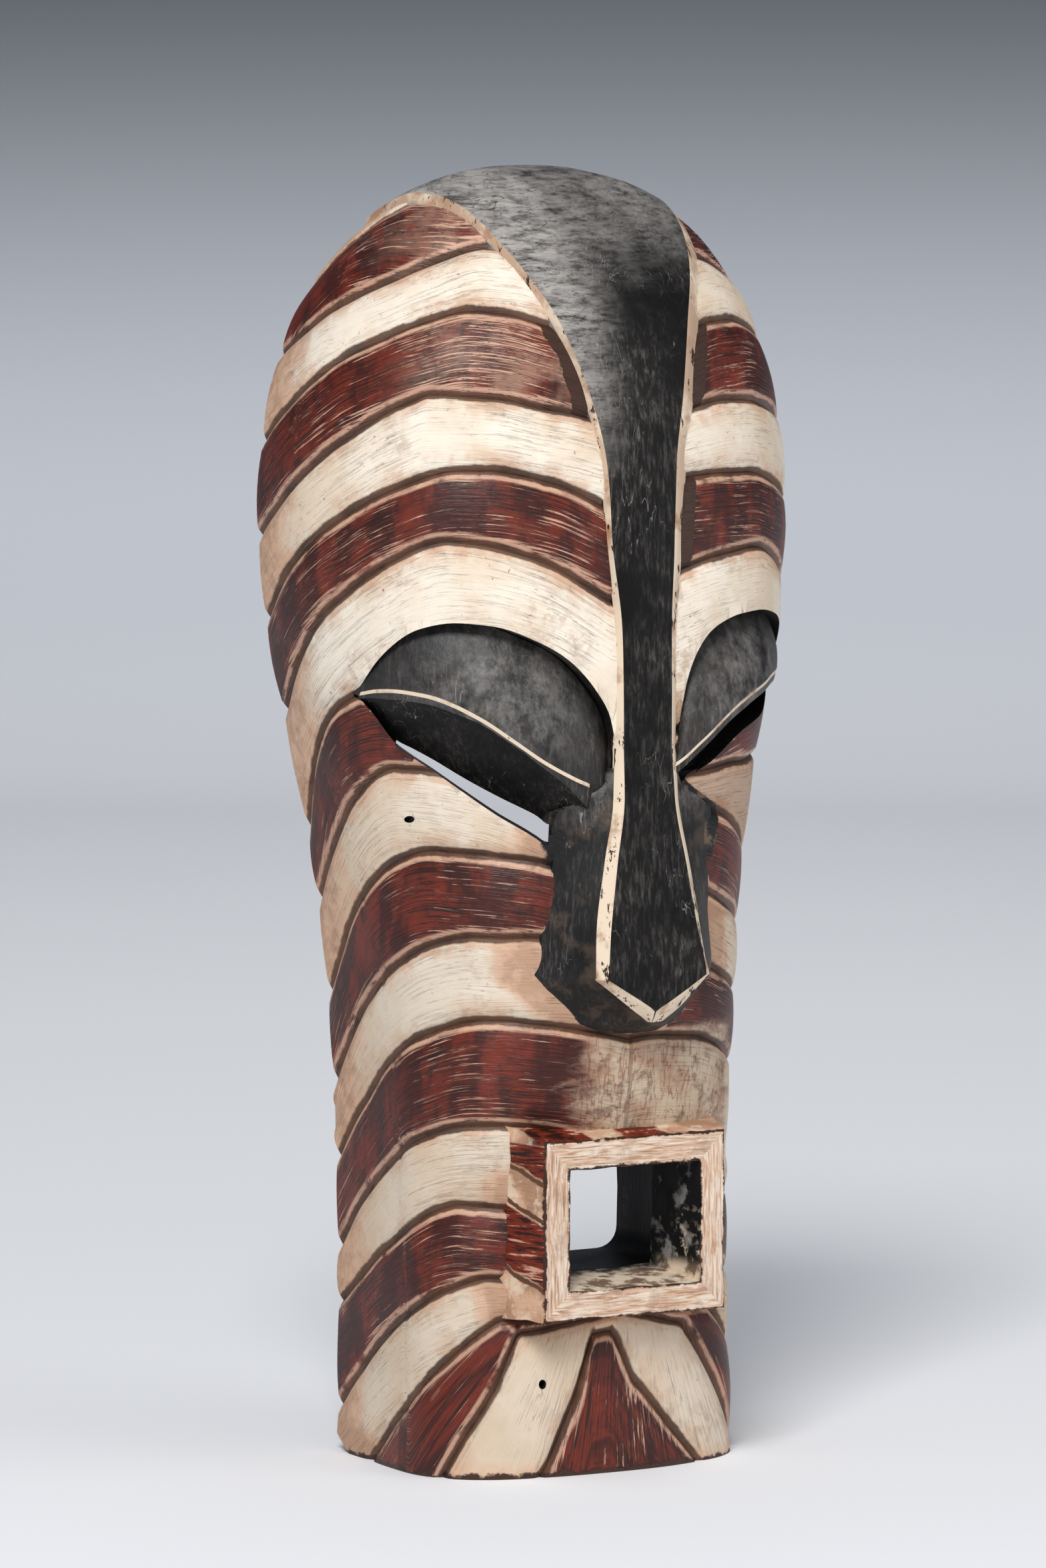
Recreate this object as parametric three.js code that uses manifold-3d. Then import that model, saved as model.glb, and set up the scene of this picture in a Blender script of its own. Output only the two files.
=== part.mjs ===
// A songye kifwebe mask, carved from one block of wood.
// Millimetres, +Z up. The face looks along -Y and the mask stands on its flat-cut chin,
// with the origin under the middle of its box. It is hollow and open at the back (+Y).

import * as THREE from 'three';
import { mergeVertices } from 'three/addons/utils/BufferGeometryUtils.js';
import Module from 'manifold-3d';

// Overall sizes
const HEIGHT = 520;
const WIDTH = 218;
const DEPTH = 136;

// Wood left around the hollow
const SIDE_WALL = 8;
const FACE_WALL = 17;
const TOP_WALL = 14;
const CHIN_BLOCK = 73.5; // solid wood under the hollow
const FLOOR_ROUNDING = 9;

// Bands cut with V grooves
const GROOVE_WIDTH = 6;
const GROOVE_DEPTH = 2.2;
const BAND_SWELL = 0.7;
const SHOULDER_SHARE = 0.3; // a groove takes at most this share of the band beside it

// Crest that runs over the head and down the nose
const CREST_RISE = 3;
const CREST_ROOT = 9; // how deep the crest reaches into the wood under it
const CREST_SEAT = 0.3; // how deep the foot of its bevels sits
const NOSE_SWELL = 1.2; // how far the nose's flanks stand off the face at least

// Square mouth that juts out of the chin
const MOUTH_WIDTH = 83;
const MOUTH_HEIGHT = 71.5;
const MOUTH_SILL = 65; // underside of the mouth above the ground
const MOUTH_SETBACK = 17; // lips behind the tip of the nose
const MOUTH_LIP = 11.5; // width of the frame around the opening
const MOUTH_FLARE = 0.22; // how fast the sides spread towards the face
const MOUTH_ROOT = 34; // depth of the box from its lips into the wood
const TUNNEL_TAPER = 0.1; // how fast the opening narrows inwards

// Eyes
const LID_RISE = 7; // ridge of the lid in front of the face
const EDGE_SETBACK = 1; // foot of the lid's flat edge behind its ridge
const SOCKET_DEPTH = 9; // hollow above the lid
const POCKET_MARGIN = 3; // how much deeper the eye is cut before its lid is set in
const UNDER_LID_DEPTH = 10; // slope under the lid, at the slit
const SLIT_BITE = 0.3; // how far the slit is cut up into the foot of the lid
const LID_ROOT = 14; // wood behind the lid, through the floor of the cut

// Worn corner at the foot of each back edge
const CORNER_LENGTH = 12;
const CORNER_RISE = 7;

// Fineness of the faceted surface
const FACE_COLUMNS = 38;
const HOLLOW_COLUMNS = 22;
const TAIL_COLUMNS = 3;
const HOLLOW_ROWS = 12;
const HOLLOW_TOP_ANGLE = 1.5; // the rows gather towards the top, up to just short of a right angle
const CLIMB_ROWS = 14;
const DESCENT_ROWS = 5;

const HALF = WIDTH / 2;
const BACK = DEPTH / 2;
const FRONT = -DEPTH / 2;
const SKIN_TOP = HEIGHT - CREST_RISE;
const SKIN_HALF = HALF - BAND_SWELL;

// Horizontal sections from the chin to the brow. Levels are shares of HEIGHT, half widths of HALF,
// and front, middle and tail are shares of DEPTH, counted forward from the back plane.
const BROW_LEVEL = 0.721;
const SECTIONS = [
  { level: -0.077, half: 0.665, front: 0.75, middle: 0.445, square: 2.5, tail: 1.68 },
  { level: 0, half: 0.665, front: 0.757, middle: 0.445, square: 2.5, tail: 1.68 },
  { level: 0.115, half: 0.66, front: 0.765, middle: 0.441, square: 2.3, tail: 1.71 },
  { level: 0.231, half: 0.665, front: 0.787, middle: 0.419, square: 2.2, tail: 1.74 },
  { level: 0.346, half: 0.693, front: 0.851, middle: 0.386, square: 2.1, tail: 1.6 },
  { level: 0.4615, half: 0.761, front: 0.901, middle: 0.287, square: 2.05, tail: 1.41 },
  { level: 0.577, half: 0.881, front: 0.925, middle: 0.232, square: 2.05, tail: 1.125 },
  { level: 0.654, half: 0.963, front: 0.915, middle: 0.246, square: 2.05, tail: 1.12 },
  { level: BROW_LEVEL, half: 1, front: 0.899, middle: 0.25, square: 2, tail: 1.05 },
];
const CROWN_MIDDLE = 0.244; // place of the top of the head, counted like the middles above
const CROWN_ROUND_ACROSS = 2.35;
const CROWN_ROUND_FRONT = 2.33;
const CROWN_ROUND_BACK = 1.67;

// Grooves between the bands, from the forehead to the chin. Each rises from the crest to a top, at a
// share of the way round to the back edge called its crown, and falls to the edge. Levels are shares of
// HEIGHT. The halves of the face differ where right is given, and a groove with only is cut on one side.
const SWEEPS = [
  { crown: 0.6, inner: 0.985, top: 0.971, edge: 0.905, fall: 2.2 },
  { crown: 0.35, inner: 0.898, top: 0.94, edge: 0.854, fall: 1.25, right: { top: 0.932 } },
  { crown: 0.37, inner: 0.848, top: 0.89, edge: 0.787, fall: 1.6, right: { top: 0.883 } },
  { crown: 0.47, inner: 0.798, top: 0.828, edge: 0.716, fall: 1.1,
    right: { crown: 0.3, top: 0.822, fall: 2 } },
  { crown: 0.4, inner: 0.727, top: 0.772, edge: 0.652, fall: 1.4,
    right: { crown: 0.25, inner: 0.757, top: 0.767, fall: 2 } },
  { crown: 0.42, inner: 0.65, top: 0.717, edge: 0.579, fall: 1.4,
    right: { crown: 0.38, inner: 0.68, top: 0.7075 } },
  { crown: 0.56, inner: 0.504, top: 0.603, edge: 0.487, fall: 2.2, right: { inner: 0.56 } },
  { crown: 0.59, inner: 0.473, top: 0.544, edge: 0.431, fall: 1.4, right: { inner: 0.537 } },
  { crown: 0.48, inner: 0.454, top: 0.481, edge: 0.36, fall: 1.8,
    right: { crown: 0.05, inner: 0.516, top: 0.518, edge: 0.338 } },
  { crown: 0.4, inner: 0.411, top: 0.417, edge: 0.29, fall: 1.7,
    right: { crown: 0.02, inner: 0.47, top: 0.47, edge: 0.345, fall: 1.1 } },
  { crown: 0.4, inner: 0.375, top: 0.385, edge: 0.26, fall: 1.65,
    right: { crown: 0.1, inner: 0.393, top: 0.393, edge: 0.268 }, only: 1 },
  { crown: 0.38, inner: 0.334, top: 0.3535, edge: 0.231, fall: 1.6,
    right: { crown: 0.1, inner: 0.336, top: 0.337, edge: 0.2, fall: 1.8 } },
  { crown: 0.4, inner: 0.25, top: 0.272, edge: 0.16, fall: 1.6,
    right: { crown: 0.1, inner: 0.26, top: 0.26, edge: 0.165 }, only: -1 },
  { crown: 0.43, inner: 0.192, top: 0.21, edge: 0.117, fall: 1.25 },
  { crown: 0.35, inner: 0.142, top: 0.155, edge: 0.035, fall: 1.4 },
  { crown: 0.32, inner: 0.132, top: 0.121, edge: -0.054, fall: 1.1 },
];
const HIDDEN_WAY = 0.08; // the halves change over behind the crest, the nose and the mouth

// Grooves that fan out below the mouth, as [way round, level] from the left edge to the right edge.
const RAYS = [
  [
    [-1, -0.26], [-0.459, 0.008], [-0.327, 0.073], [-0.27, 0.112],
    [0, 0.125], [0.215, 0.11], [0.44, 0.027], [1, -0.19],
  ],
  [
    [-1, -0.42], [-0.192, 0.008], [-0.111, 0.062], [-0.07, 0.108],
    [-0.012, 0.11], [0.057, 0.071], [0.255, 0.008], [1, -0.25],
  ],
];

// The crest, from the tip of the nose to the top of the head: level as a share of HEIGHT, half width of
// its flat front, and width of the bevel on its left and on its right.
const CREST_ROWS = [
  [0.352, 0.1, 0.1, 7], [0.3615, 0.4, 8, 12], [0.387, 22.5, 4, 3.5], [0.402, 21.6, 4.5, 2.5],
  [0.438, 18.6, 5.5, 3.5], [0.475, 15.7, 4.2, 3.5], [0.524, 11.5, 3.8, 3.6], [0.58, 10.8, 2.5, 4],
  [0.652, 11.4, 1.5, 5], [0.712, 14.1, 1.2, 5.5], [0.773, 15.9, 1.2, 7], [0.827, 21.2, 1.2, 7.8],
  [0.881, 29.3, 1.2, 8], [0.923, 38, 1.2, 8], [0.973, 46.7, 1.5, 8], [1, 51, 2, 6],
];
const CREST_BACK_HALF = 55;

// The nose under the crest: level as a share of HEIGHT, half width where it meets the face, and reach of
// its front as a share of DEPTH.
const NOSE_ROWS = [
  [0.56, 11, 0.92], [0.532, 18, 0.926], [0.521, 27, 0.928], [0.512, 35.5, 0.93], [0.5, 37, 0.933],
  [0.475, 35.5, 0.94], [0.431, 37.4, 0.955], [0.388, 41.2, 0.975], [0.369, 33, 0.972],
  [0.3492, 22, 0.935], [0.342, 12, 0.86],
];

// The eyes, from the outer corner to the inner one. The socket's arc, the lid's ridge and the top of the
// slit are places on the face, as [x, level] with x a share of HALF. The edge is the height of the lid's
// flat edge under its ridge, and the opening is the height of the slit. The right eye sits higher.
const LEFT_EYE = [
  { arc: [0.862, 0.6], ridge: [0.858, 0.6015], edge: 2.5, slit: [0.848, 0.5945], opening: 0 },
  { arc: [0.848, 0.621], ridge: [0.835, 0.604], edge: 3.5, slit: [0.822, 0.584], opening: 0 },
  { arc: [0.815, 0.6385], ridge: [0.8, 0.6046], edge: 4.2, slit: [0.77, 0.564], opening: 1.2 },
  { arc: [0.755, 0.651], ridge: [0.735, 0.602], edge: 3.8, slit: [0.735, 0.558], opening: 2.3 },
  { arc: [0.66, 0.656], ridge: [0.66, 0.594], edge: 3.3, slit: [0.686, 0.55], opening: 3.2 },
  { arc: [0.543, 0.6535], ridge: [0.58, 0.583], edge: 2.3, slit: [0.6, 0.5355], opening: 4.5 },
  { arc: [0.412, 0.643], ridge: [0.49, 0.5677], edge: 2.2, slit: [0.504, 0.522], opening: 6.4 },
  { arc: [0.298, 0.6285], ridge: [0.4, 0.5532], edge: 3, slit: [0.397, 0.5092], opening: 7.8 },
  { arc: [0.203, 0.607], ridge: [0.325, 0.5437], edge: 4.8, slit: [0.347, 0.5024], opening: 7.7 },
  { arc: [0.14, 0.583], ridge: [0.28, 0.539], edge: 7, slit: [0.29, 0.5035], opening: 0 },
  { arc: [0.118, 0.555], ridge: [0.25, 0.5365], edge: 8.8, slit: [0.25, 0.5085], opening: 0 },
  { arc: [0.122, 0.53], ridge: [0.225, 0.5345], edge: 10, slit: [0.215, 0.513], opening: 0 },
];
const RIGHT_EYE = [
  { arc: [0.862, 0.61], ridge: [0.86, 0.6105], edge: 2, slit: [0.853, 0.603], opening: 0 },
  { arc: [0.845, 0.63], ridge: [0.84, 0.6125], edge: 3.5, slit: [0.825, 0.598], opening: 0 },
  { arc: [0.8, 0.647], ridge: [0.79, 0.613], edge: 4.4, slit: [0.77, 0.5925], opening: 2.5 },
  { arc: [0.717, 0.6557], ridge: [0.7, 0.6102], edge: 4.4, slit: [0.69, 0.585], opening: 3.5 },
  { arc: [0.6, 0.6594], ridge: [0.6, 0.6043], edge: 4.4, slit: [0.6, 0.5805], opening: 3.5 },
  { arc: [0.47, 0.6577], ridge: [0.49, 0.5965], edge: 4.4, slit: [0.51, 0.5755], opening: 3.5 },
  { arc: [0.372, 0.6527], ridge: [0.4, 0.5888], edge: 4.4, slit: [0.42, 0.5665], opening: 3.5 },
  { arc: [0.3, 0.6453], ridge: [0.33, 0.58], edge: 4.4, slit: [0.34, 0.556], opening: 3.5 },
  { arc: [0.235, 0.631], ridge: [0.26, 0.5695], edge: 4.4, slit: [0.265, 0.5452], opening: 3.5 },
  { arc: [0.187, 0.6105], ridge: [0.2, 0.5605], edge: 4.4, slit: [0.205, 0.5368], opening: 0 },
  { arc: [0.158, 0.583], ridge: [0.155, 0.553], edge: 4.4, slit: [0.165, 0.531], opening: 0 },
  { arc: [0.145, 0.56], ridge: [0.125, 0.548], edge: 4.4, slit: [0.135, 0.5265], opening: 0 },
];
const SLIT_SLANT = Math.PI / 6; // the slits are cut towards the middle of the hollow
const SOCKET_SLANT = 0.16;
const REACH = 120; // cutters reach this far past the wood
const SLIVER = 0.01; // cutters overlap by this much where they would only touch
const SLOPE_STEP = 0.4; // height over which slopes of the skin are measured
const WAY_STEP = 0.004; // share of the way round over which they are measured

const clamp = (value, low, high) => Math.min(high, Math.max(low, value));

/** Smooth curve through points [at, value] that never overshoots them. */
function smoothAt(points, at) {
  const last = points.length - 1;
  const place = clamp(at, points[0][0], points[last][0]);
  let i = 0;
  while (i < last - 1 && place > points[i + 1][0]) i += 1;
  const grade = (k) => (points[k + 1][1] - points[k][1]) / (points[k + 1][0] - points[k][0]);
  const slope = (k) => {
    if (k === 0) return grade(0);
    if (k === last) return grade(last - 1);
    const [before, after] = [grade(k - 1), grade(k)];
    return before * after > 0 ? (2 * before * after) / (before + after) : 0;
  };
  const span = points[i + 1][0] - points[i][0];
  const t = (place - points[i][0]) / span;
  const rise = points[i + 1][1] - points[i][1];
  const [m0, m1] = [slope(i) * span, slope(i + 1) * span];
  return points[i][1] + m0 * t + (3 * rise - 2 * m0 - m1) * t * t + (m0 + m1 - 2 * rise) * t * t * t;
}

/** Straight lines through points [at, value]. */
function straightAt(points, at) {
  let i = 0;
  while (i < points.length - 2 && at > points[i + 1][0]) i += 1;
  const t = (at - points[i][0]) / (points[i + 1][0] - points[i][0]);
  return points[i][1] + t * (points[i + 1][1] - points[i][1]);
}

const sectionCurves = {};
for (const key of ['half', 'front', 'middle', 'square', 'tail']) {
  sectionCurves[key] = SECTIONS.map((station) => [station.level, station[key]]);
}

const OUTSIDE = { side: 0, front: 0, top: 0 };

/** Horizontal section of the head at height z, drawn in by the given walls. */
function sectionAt(z, walls = OUTSIDE) {
  const level = z / HEIGHT;
  const base = Math.min(level, BROW_LEVEL);
  const brow = BROW_LEVEL * HEIGHT;
  const t = clamp((z - brow) / (SKIN_TOP - walls.top - brow), 0, 1);
  const rounding = (power) => (1 - t ** power) ** (1 / power);
  const middle = smoothAt(sectionCurves.middle, base);
  const reach = smoothAt(sectionCurves.front, base) - middle;
  return {
    half: (smoothAt(sectionCurves.half, base) * SKIN_HALF - walls.side) * rounding(CROWN_ROUND_ACROSS),
    reach: (reach * DEPTH - walls.front) * rounding(CROWN_ROUND_FRONT),
    tail: smoothAt(sectionCurves.tail, base) * DEPTH * rounding(CROWN_ROUND_BACK),
    middle: BACK - DEPTH * (middle + (CROWN_MIDDLE - middle) * t * t),
    square: smoothAt(sectionCurves.square, base),
  };
}

/** Point of a section at an angle from the front, positive to the right, past a right angle at the back. */
function sectionPoint(section, angle, z) {
  const turn = Math.abs(angle);
  const ahead = Math.cos(turn);
  const bend = ahead > 0 ? 2 / section.square : 1;
  const x = Math.sign(angle) * section.half * Math.abs(Math.sin(turn)) ** bend;
  const away = Math.abs(ahead) ** bend;
  const y = ahead > 0 ? section.middle - section.reach * away : section.middle + section.tail * away;
  return new THREE.Vector3(x, y, z);
}

/** Angle at which a section ends, just behind the back plane. */
function backAngle(section) {
  const ratio = (BACK + BACK_MARGIN - section.middle) / Math.max(section.tail, SLIVER);
  return Math.min(Math.PI / 2 + Math.asin(clamp(ratio, -1, 1)), LARGEST_ANGLE);
}

const BACK_MARGIN = 0.5; // the bands run this far past the back plane, where the flat cut ends them
const LARGEST_ANGLE = 0.9 * Math.PI;
const GIRTH_STEPS = 72;

/** Section angle at a share of the way round from the front to the back plane. */
function angleAtWay(section, way) {
  const end = backAngle(section);
  const lengths = [0];
  let before = sectionPoint(section, 0, 0);
  for (let k = 1; k <= GIRTH_STEPS; k += 1) {
    const point = sectionPoint(section, (end * k) / GIRTH_STEPS, 0);
    lengths.push(lengths[k - 1] + point.distanceTo(before));
    before = point;
  }
  const target = Math.abs(way) * lengths[GIRTH_STEPS];
  let k = 1;
  while (k < GIRTH_STEPS && lengths[k] < target) k += 1;
  const part = (target - lengths[k - 1]) / (lengths[k] - lengths[k - 1]);
  return (Math.sign(way) * end * (k - 1 + part)) / GIRTH_STEPS;
}

function skinPoint(way, z) {
  const height = Math.min(z, SKIN_TOP - SLIVER);
  const section = sectionAt(height);
  return sectionPoint(section, angleAtWay(section, way), height);
}

/** Steps of the skin at a place: along the section, up the face, and straight out of it. */
function skinFrame(way, z) {
  const across = skinPoint(way + WAY_STEP, z).sub(skinPoint(way - WAY_STEP, z)).divideScalar(2 * WAY_STEP);
  const up = skinPoint(way, z + SLOPE_STEP).sub(skinPoint(way, z - SLOPE_STEP)).divideScalar(2 * SLOPE_STEP);
  const out = new THREE.Vector3().crossVectors(across, up).normalize();
  return { across, up, out };
}

/** Depth y of the front of the face at x and z. */
function faceFront(x, z) {
  const section = sectionAt(z);
  const share = clamp(Math.abs(x) / section.half, 0, 0.999);
  return section.middle - section.reach * (1 - share ** section.square) ** (1 / section.square);
}

/** Level of one sweeping groove on one side of the face. */
function sweepLevel({ crown, inner, top, edge, fall }, turn) {
  if (turn < crown) return top - (top - inner) * ((crown - turn) / crown) ** 2;
  return top - (top - edge) * ((turn - crown) / (1 - crown)) ** fall;
}

/** Height of groove number k at a share of the way round. */
function grooveHeight(k, way) {
  if (k >= SWEEPS.length) return underGround(straightAt(RAYS[k - SWEEPS.length], way) * HEIGHT);
  const left = sweepLevel(SWEEPS[k], Math.abs(way));
  const right = sweepLevel({ ...SWEEPS[k], ...SWEEPS[k].right }, Math.abs(way));
  const share = clamp((way / HIDDEN_WAY + 1) / 2, 0, 1);
  return underGround((left + (right - left) * share) * HEIGHT);
}

/** Depth of groove number k at a share of the way round. */
function grooveDepth(k, way) {
  const only = SWEEPS[k]?.only;
  return only ? GROOVE_DEPTH * clamp((way * only) / HIDDEN_WAY, 0, 1) : GROOVE_DEPTH;
}

/** Grooves that run off the chin are drawn together below the ground, where the flat cut removes them. */
function underGround(z) {
  const start = -8;
  const room = 26;
  return z > start ? z : start - (room * (start - z)) / (room * 2 + start - z);
}

/** Closed solid from rings of points, listed from its start, each turning left as seen from there. */
function loft(rings, startPoint, endPoint) {
  const count = rings[0].length;
  const positions = [];
  const triangles = [];
  for (const ring of rings) for (const point of ring) positions.push(point.x, point.y, point.z);
  const middleOf = (ring) => {
    const sum = new THREE.Vector3();
    for (const point of ring) sum.add(point);
    return sum.divideScalar(count);
  };
  const lastRing = rings[rings.length - 1];
  const start = positions.length / 3;
  const end = start + 1;
  const startTip = startPoint ?? middleOf(rings[0]);
  const endTip = endPoint ?? middleOf(lastRing);
  positions.push(startTip.x, startTip.y, startTip.z, endTip.x, endTip.y, endTip.z);
  for (let j = 0; j < count; j += 1) {
    const next = (j + 1) % count;
    triangles.push(start, j, next);
    for (let i = 0; i < rings.length - 1; i += 1) {
      const here = i * count;
      const there = here + count;
      triangles.push(here + j, there + j, there + next, here + j, there + next, here + next);
    }
    const base = (rings.length - 1) * count;
    triangles.push(end, base + next, base + j);
  }
  const geometry = new THREE.BufferGeometry();
  geometry.setAttribute('position', new THREE.Float32BufferAttribute(positions, 3));
  geometry.setIndex(triangles);
  return geometry;
}

const wasm = await Module();
wasm.setup();

function solidOf(geometry) {
  const bare = geometry.clone();
  bare.deleteAttribute('normal');
  bare.deleteAttribute('uv');
  const merged = mergeVertices(bare, 1e-4);
  return new wasm.Manifold(new wasm.Mesh({
    numProp: 3,
    vertProperties: new Float32Array(merged.getAttribute('position').array),
    triVerts: new Uint32Array(merged.getIndex().array),
  }));
}

/** Angles round a whole section: the columns of the face, then the tail behind the back plane. */
function ringAngles(section, columns) {
  const end = backAngle(section);
  const angles = [];
  for (let j = 0; j <= columns; j += 1) angles.push(angleAtWay(section, -1 + (2 * j) / columns));
  for (let j = 1; j <= TAIL_COLUMNS; j += 1) {
    const angle = end + ((2 * Math.PI - 2 * end) * j) / (TAIL_COLUMNS + 1);
    angles.push(angle > Math.PI ? angle - 2 * Math.PI : angle);
  }
  return angles;
}

/** One ring of the grooved skin: heightAt gives its height, liftAt how far it stands off the smooth skin. */
function skinRing(heightAt, liftAt = () => 0) {
  const ring = [];
  for (let j = 0; j <= FACE_COLUMNS; j += 1) {
    const way = -1 + (2 * j) / FACE_COLUMNS;
    const z = heightAt(way);
    ring.push(skinPoint(way, z).addScaledVector(skinFrame(way, z).out, liftAt(way)));
  }
  const z = (heightAt(-1) + heightAt(1)) / 2;
  const section = sectionAt(z);
  for (const angle of ringAngles(section, FACE_COLUMNS).slice(FACE_COLUMNS + 1)) {
    ring.push(sectionPoint(section, angle, z));
  }
  return ring;
}

/** Height above or below a groove at which its shoulder lies. */
function shoulderStep(k, way, gap) {
  const z = grooveHeight(k, way);
  const { across, up } = skinFrame(way, z);
  const rise = grooveHeight(k, way + WAY_STEP) - grooveHeight(k, way - WAY_STEP);
  const slope = rise / (2 * WAY_STEP) / across.length();
  const stretch = up.length();
  const step = ((GROOVE_WIDTH / 2) * Math.hypot(1, slope * stretch)) / stretch;
  return Math.min(step, SHOULDER_SHARE * gap);
}

/** The head before the eyes, nose and mouth: a closed skin with its bands and grooves. */
function bandedHead() {
  const grooves = SWEEPS.length + RAYS.length;
  const rings = [];
  for (const share of [0.02, 0.1, 0.3, 0.6]) {
    rings.push(skinRing((way) => SKIN_TOP - share * (SKIN_TOP - grooveHeight(0, way))));
  }
  for (let k = 0; k < grooves; k += 1) {
    const isLast = k === grooves - 1;
    const next = (way) => (isLast ? grooveHeight(k, way) - GROOVE_WIDTH * 2 : grooveHeight(k + 1, way));
    const gapAbove = (way) => (k > 0 ? grooveHeight(k - 1, way) : SKIN_TOP) - grooveHeight(k, way);
    const gapBelow = (way) => grooveHeight(k, way) - next(way);
    rings.push(skinRing((way) => grooveHeight(k, way) + shoulderStep(k, way, gapAbove(way))));
    rings.push(skinRing((way) => grooveHeight(k, way), (way) => -grooveDepth(k, way)));
    rings.push(skinRing((way) => grooveHeight(k, way) - shoulderStep(k, way, gapBelow(way))));
    if (!isLast) rings.push(skinRing((way) => (grooveHeight(k, way) + next(way)) / 2, () => BAND_SWELL));
  }
  rings.push(skinRing(() => underGround(-HEIGHT * HEIGHT) - GROOVE_WIDTH));
  return loft(rings, new THREE.Vector3(0, sectionAt(SKIN_TOP).middle, SKIN_TOP));
}

/** The hollow behind the face, open at the back. */
function hollow() {
  const ceiling = SKIN_TOP - TOP_WALL;
  const floor = CHIN_BLOCK + FLOOR_ROUNDING;
  const heights = [0, 0.25, 1].map((share) => CHIN_BLOCK + share * FLOOR_ROUNDING);
  for (let k = 1; k <= HOLLOW_ROWS; k += 1) {
    heights.push(floor + (ceiling - floor) * Math.sin((k / HOLLOW_ROWS) * HOLLOW_TOP_ANGLE));
  }
  const rings = heights.reverse().map((z) => {
    const low = clamp((floor - z) / FLOOR_ROUNDING, 0, 1);
    const inset = FLOOR_ROUNDING * (1 - Math.sqrt(1 - low * low));
    const walls = { side: SIDE_WALL + inset, front: FACE_WALL + inset, top: TOP_WALL };
    const section = sectionAt(z, walls);
    return ringAngles(section, HOLLOW_COLUMNS).map((angle) => sectionPoint(section, angle, z));
  });
  return loft(rings);
}

/** Point of the skin below a place that lies off it, looking in along a direction in the middle plane. */
function dropToSkin(from, inward) {
  const inside = (depth) => {
    const z = from.z + inward.z * depth;
    if (z >= SKIN_TOP) return false;
    const section = sectionAt(z);
    const y = from.y + inward.y * depth - section.middle;
    const x = Math.abs(from.x) / section.half;
    const power = y < 0 ? section.square : 2;
    return x ** power + (Math.abs(y) / (y < 0 ? section.reach : section.tail)) ** power < 1;
  };
  let low = -2 * CREST_RISE;
  let high = HALF;
  for (let k = 0; k < 40; k += 1) {
    const mid = (low + high) / 2;
    if (inside(mid)) high = mid;
    else low = mid;
  }
  return new THREE.Vector3(from.x, from.y + inward.y * high, from.z + inward.z * high);
}

/** One row of the crest: its flat front between two bevels, and its root in the wood. */
function crestRow(middle, outward, [half, leftBevel, rightBevel], follow) {
  const inward = outward.clone().negate();
  const surface = (x, lift) => {
    const from = new THREE.Vector3(x, middle.y, middle.z);
    return (follow ? dropToSkin(from, inward) : from).addScaledVector(outward, lift);
  };
  const left = -half - leftBevel;
  const right = half + rightBevel;
  const flat = [-1, -0.6, -0.2, 0.2, 0.6, 1].map((share) => surface(share * half, CREST_RISE));
  const root = [surface(right, -CREST_ROOT), surface(left, -CREST_ROOT)];
  return [surface(left, -CREST_SEAT), ...flat, surface(right, -CREST_SEAT), ...root];
}

/** Sizes of the crest at a height: half width, left bevel and right bevel. */
function crestSizes(z) {
  return [1, 2, 3].map((column) => smoothAt(CREST_ROWS.map((row) => [row[0], row[column]]), z / HEIGHT));
}

/** Depth y of the front of the nose at a height, under the crest. */
function noseFront(z) {
  return BACK - DEPTH * smoothAt(NOSE_ROWS.map(([level, , reach]) => [level, reach]).reverse(), z / HEIGHT);
}

/** The crest: from the tip of the nose up the forehead, over the head and down to the back plane. */
function crest() {
  const bridge = NOSE_ROWS[0][0] * HEIGHT;
  const rows = [];
  const forward = new THREE.Vector3(0, -1, 0);
  for (const [level, ...sizes] of CREST_ROWS.filter((row) => row[0] * HEIGHT < bridge)) {
    const z = level * HEIGHT;
    rows.push(crestRow(new THREE.Vector3(0, noseFront(z), z), forward, sizes, false));
  }
  for (let k = 0; k <= CLIMB_ROWS; k += 1) {
    const z = bridge + (SKIN_TOP - GROOVE_WIDTH / 4 - bridge) * Math.sin((k / CLIMB_ROWS) * (Math.PI / 2));
    const [here, below] = [sectionAt(z), sectionAt(z - SLOPE_STEP)];
    const slope = (here.middle - here.reach - (below.middle - below.reach)) / SLOPE_STEP;
    const outward = new THREE.Vector3(0, -1, slope).normalize();
    const middle = new THREE.Vector3(0, here.middle - here.reach, z);
    rows.push(crestRow(middle, outward, crestSizes(z), true));
  }
  const start = sectionAt(SKIN_TOP).middle;
  const [half, ...bevels] = crestSizes(HEIGHT);
  for (let k = 0; k <= DESCENT_ROWS; k += 1) {
    const share = k / DESCENT_ROWS;
    const middle = new THREE.Vector3(0, start + (BACK + CREST_ROOT - start) * share, SKIN_TOP);
    const outward = new THREE.Vector3(0, share / 2, 1).normalize();
    rows.push(crestRow(middle, outward, [half + (CREST_BACK_HALF - half) * share, ...bevels], true));
  }
  return loft(rows.reverse());
}

/** The black body of the nose between the crest and the cheeks. */
function nose() {
  const rings = NOSE_ROWS.map(([level, wing]) => {
    const z = level * HEIGHT;
    const [half, leftBevel, rightBevel] = crestSizes(z);
    const root = faceFront(wing, z);
    const front = Math.min(noseFront(z), root);
    const left = -half - leftBevel;
    const right = half + rightBevel;
    const flank = (x) => [x, Math.min((root + front) / 2, faceFront(x, z) - NOSE_SWELL)];
    const outline = [
      [-wing, root + CREST_ROOT], [-wing, root], flank((left - wing) / 2), [left, front],
      [right, front], flank((right + wing) / 2), [wing, root], [wing, root + CREST_ROOT],
    ];
    return outline.map(([x, y]) => new THREE.Vector3(x, y, z));
  });
  return loft(rings);
}

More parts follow.
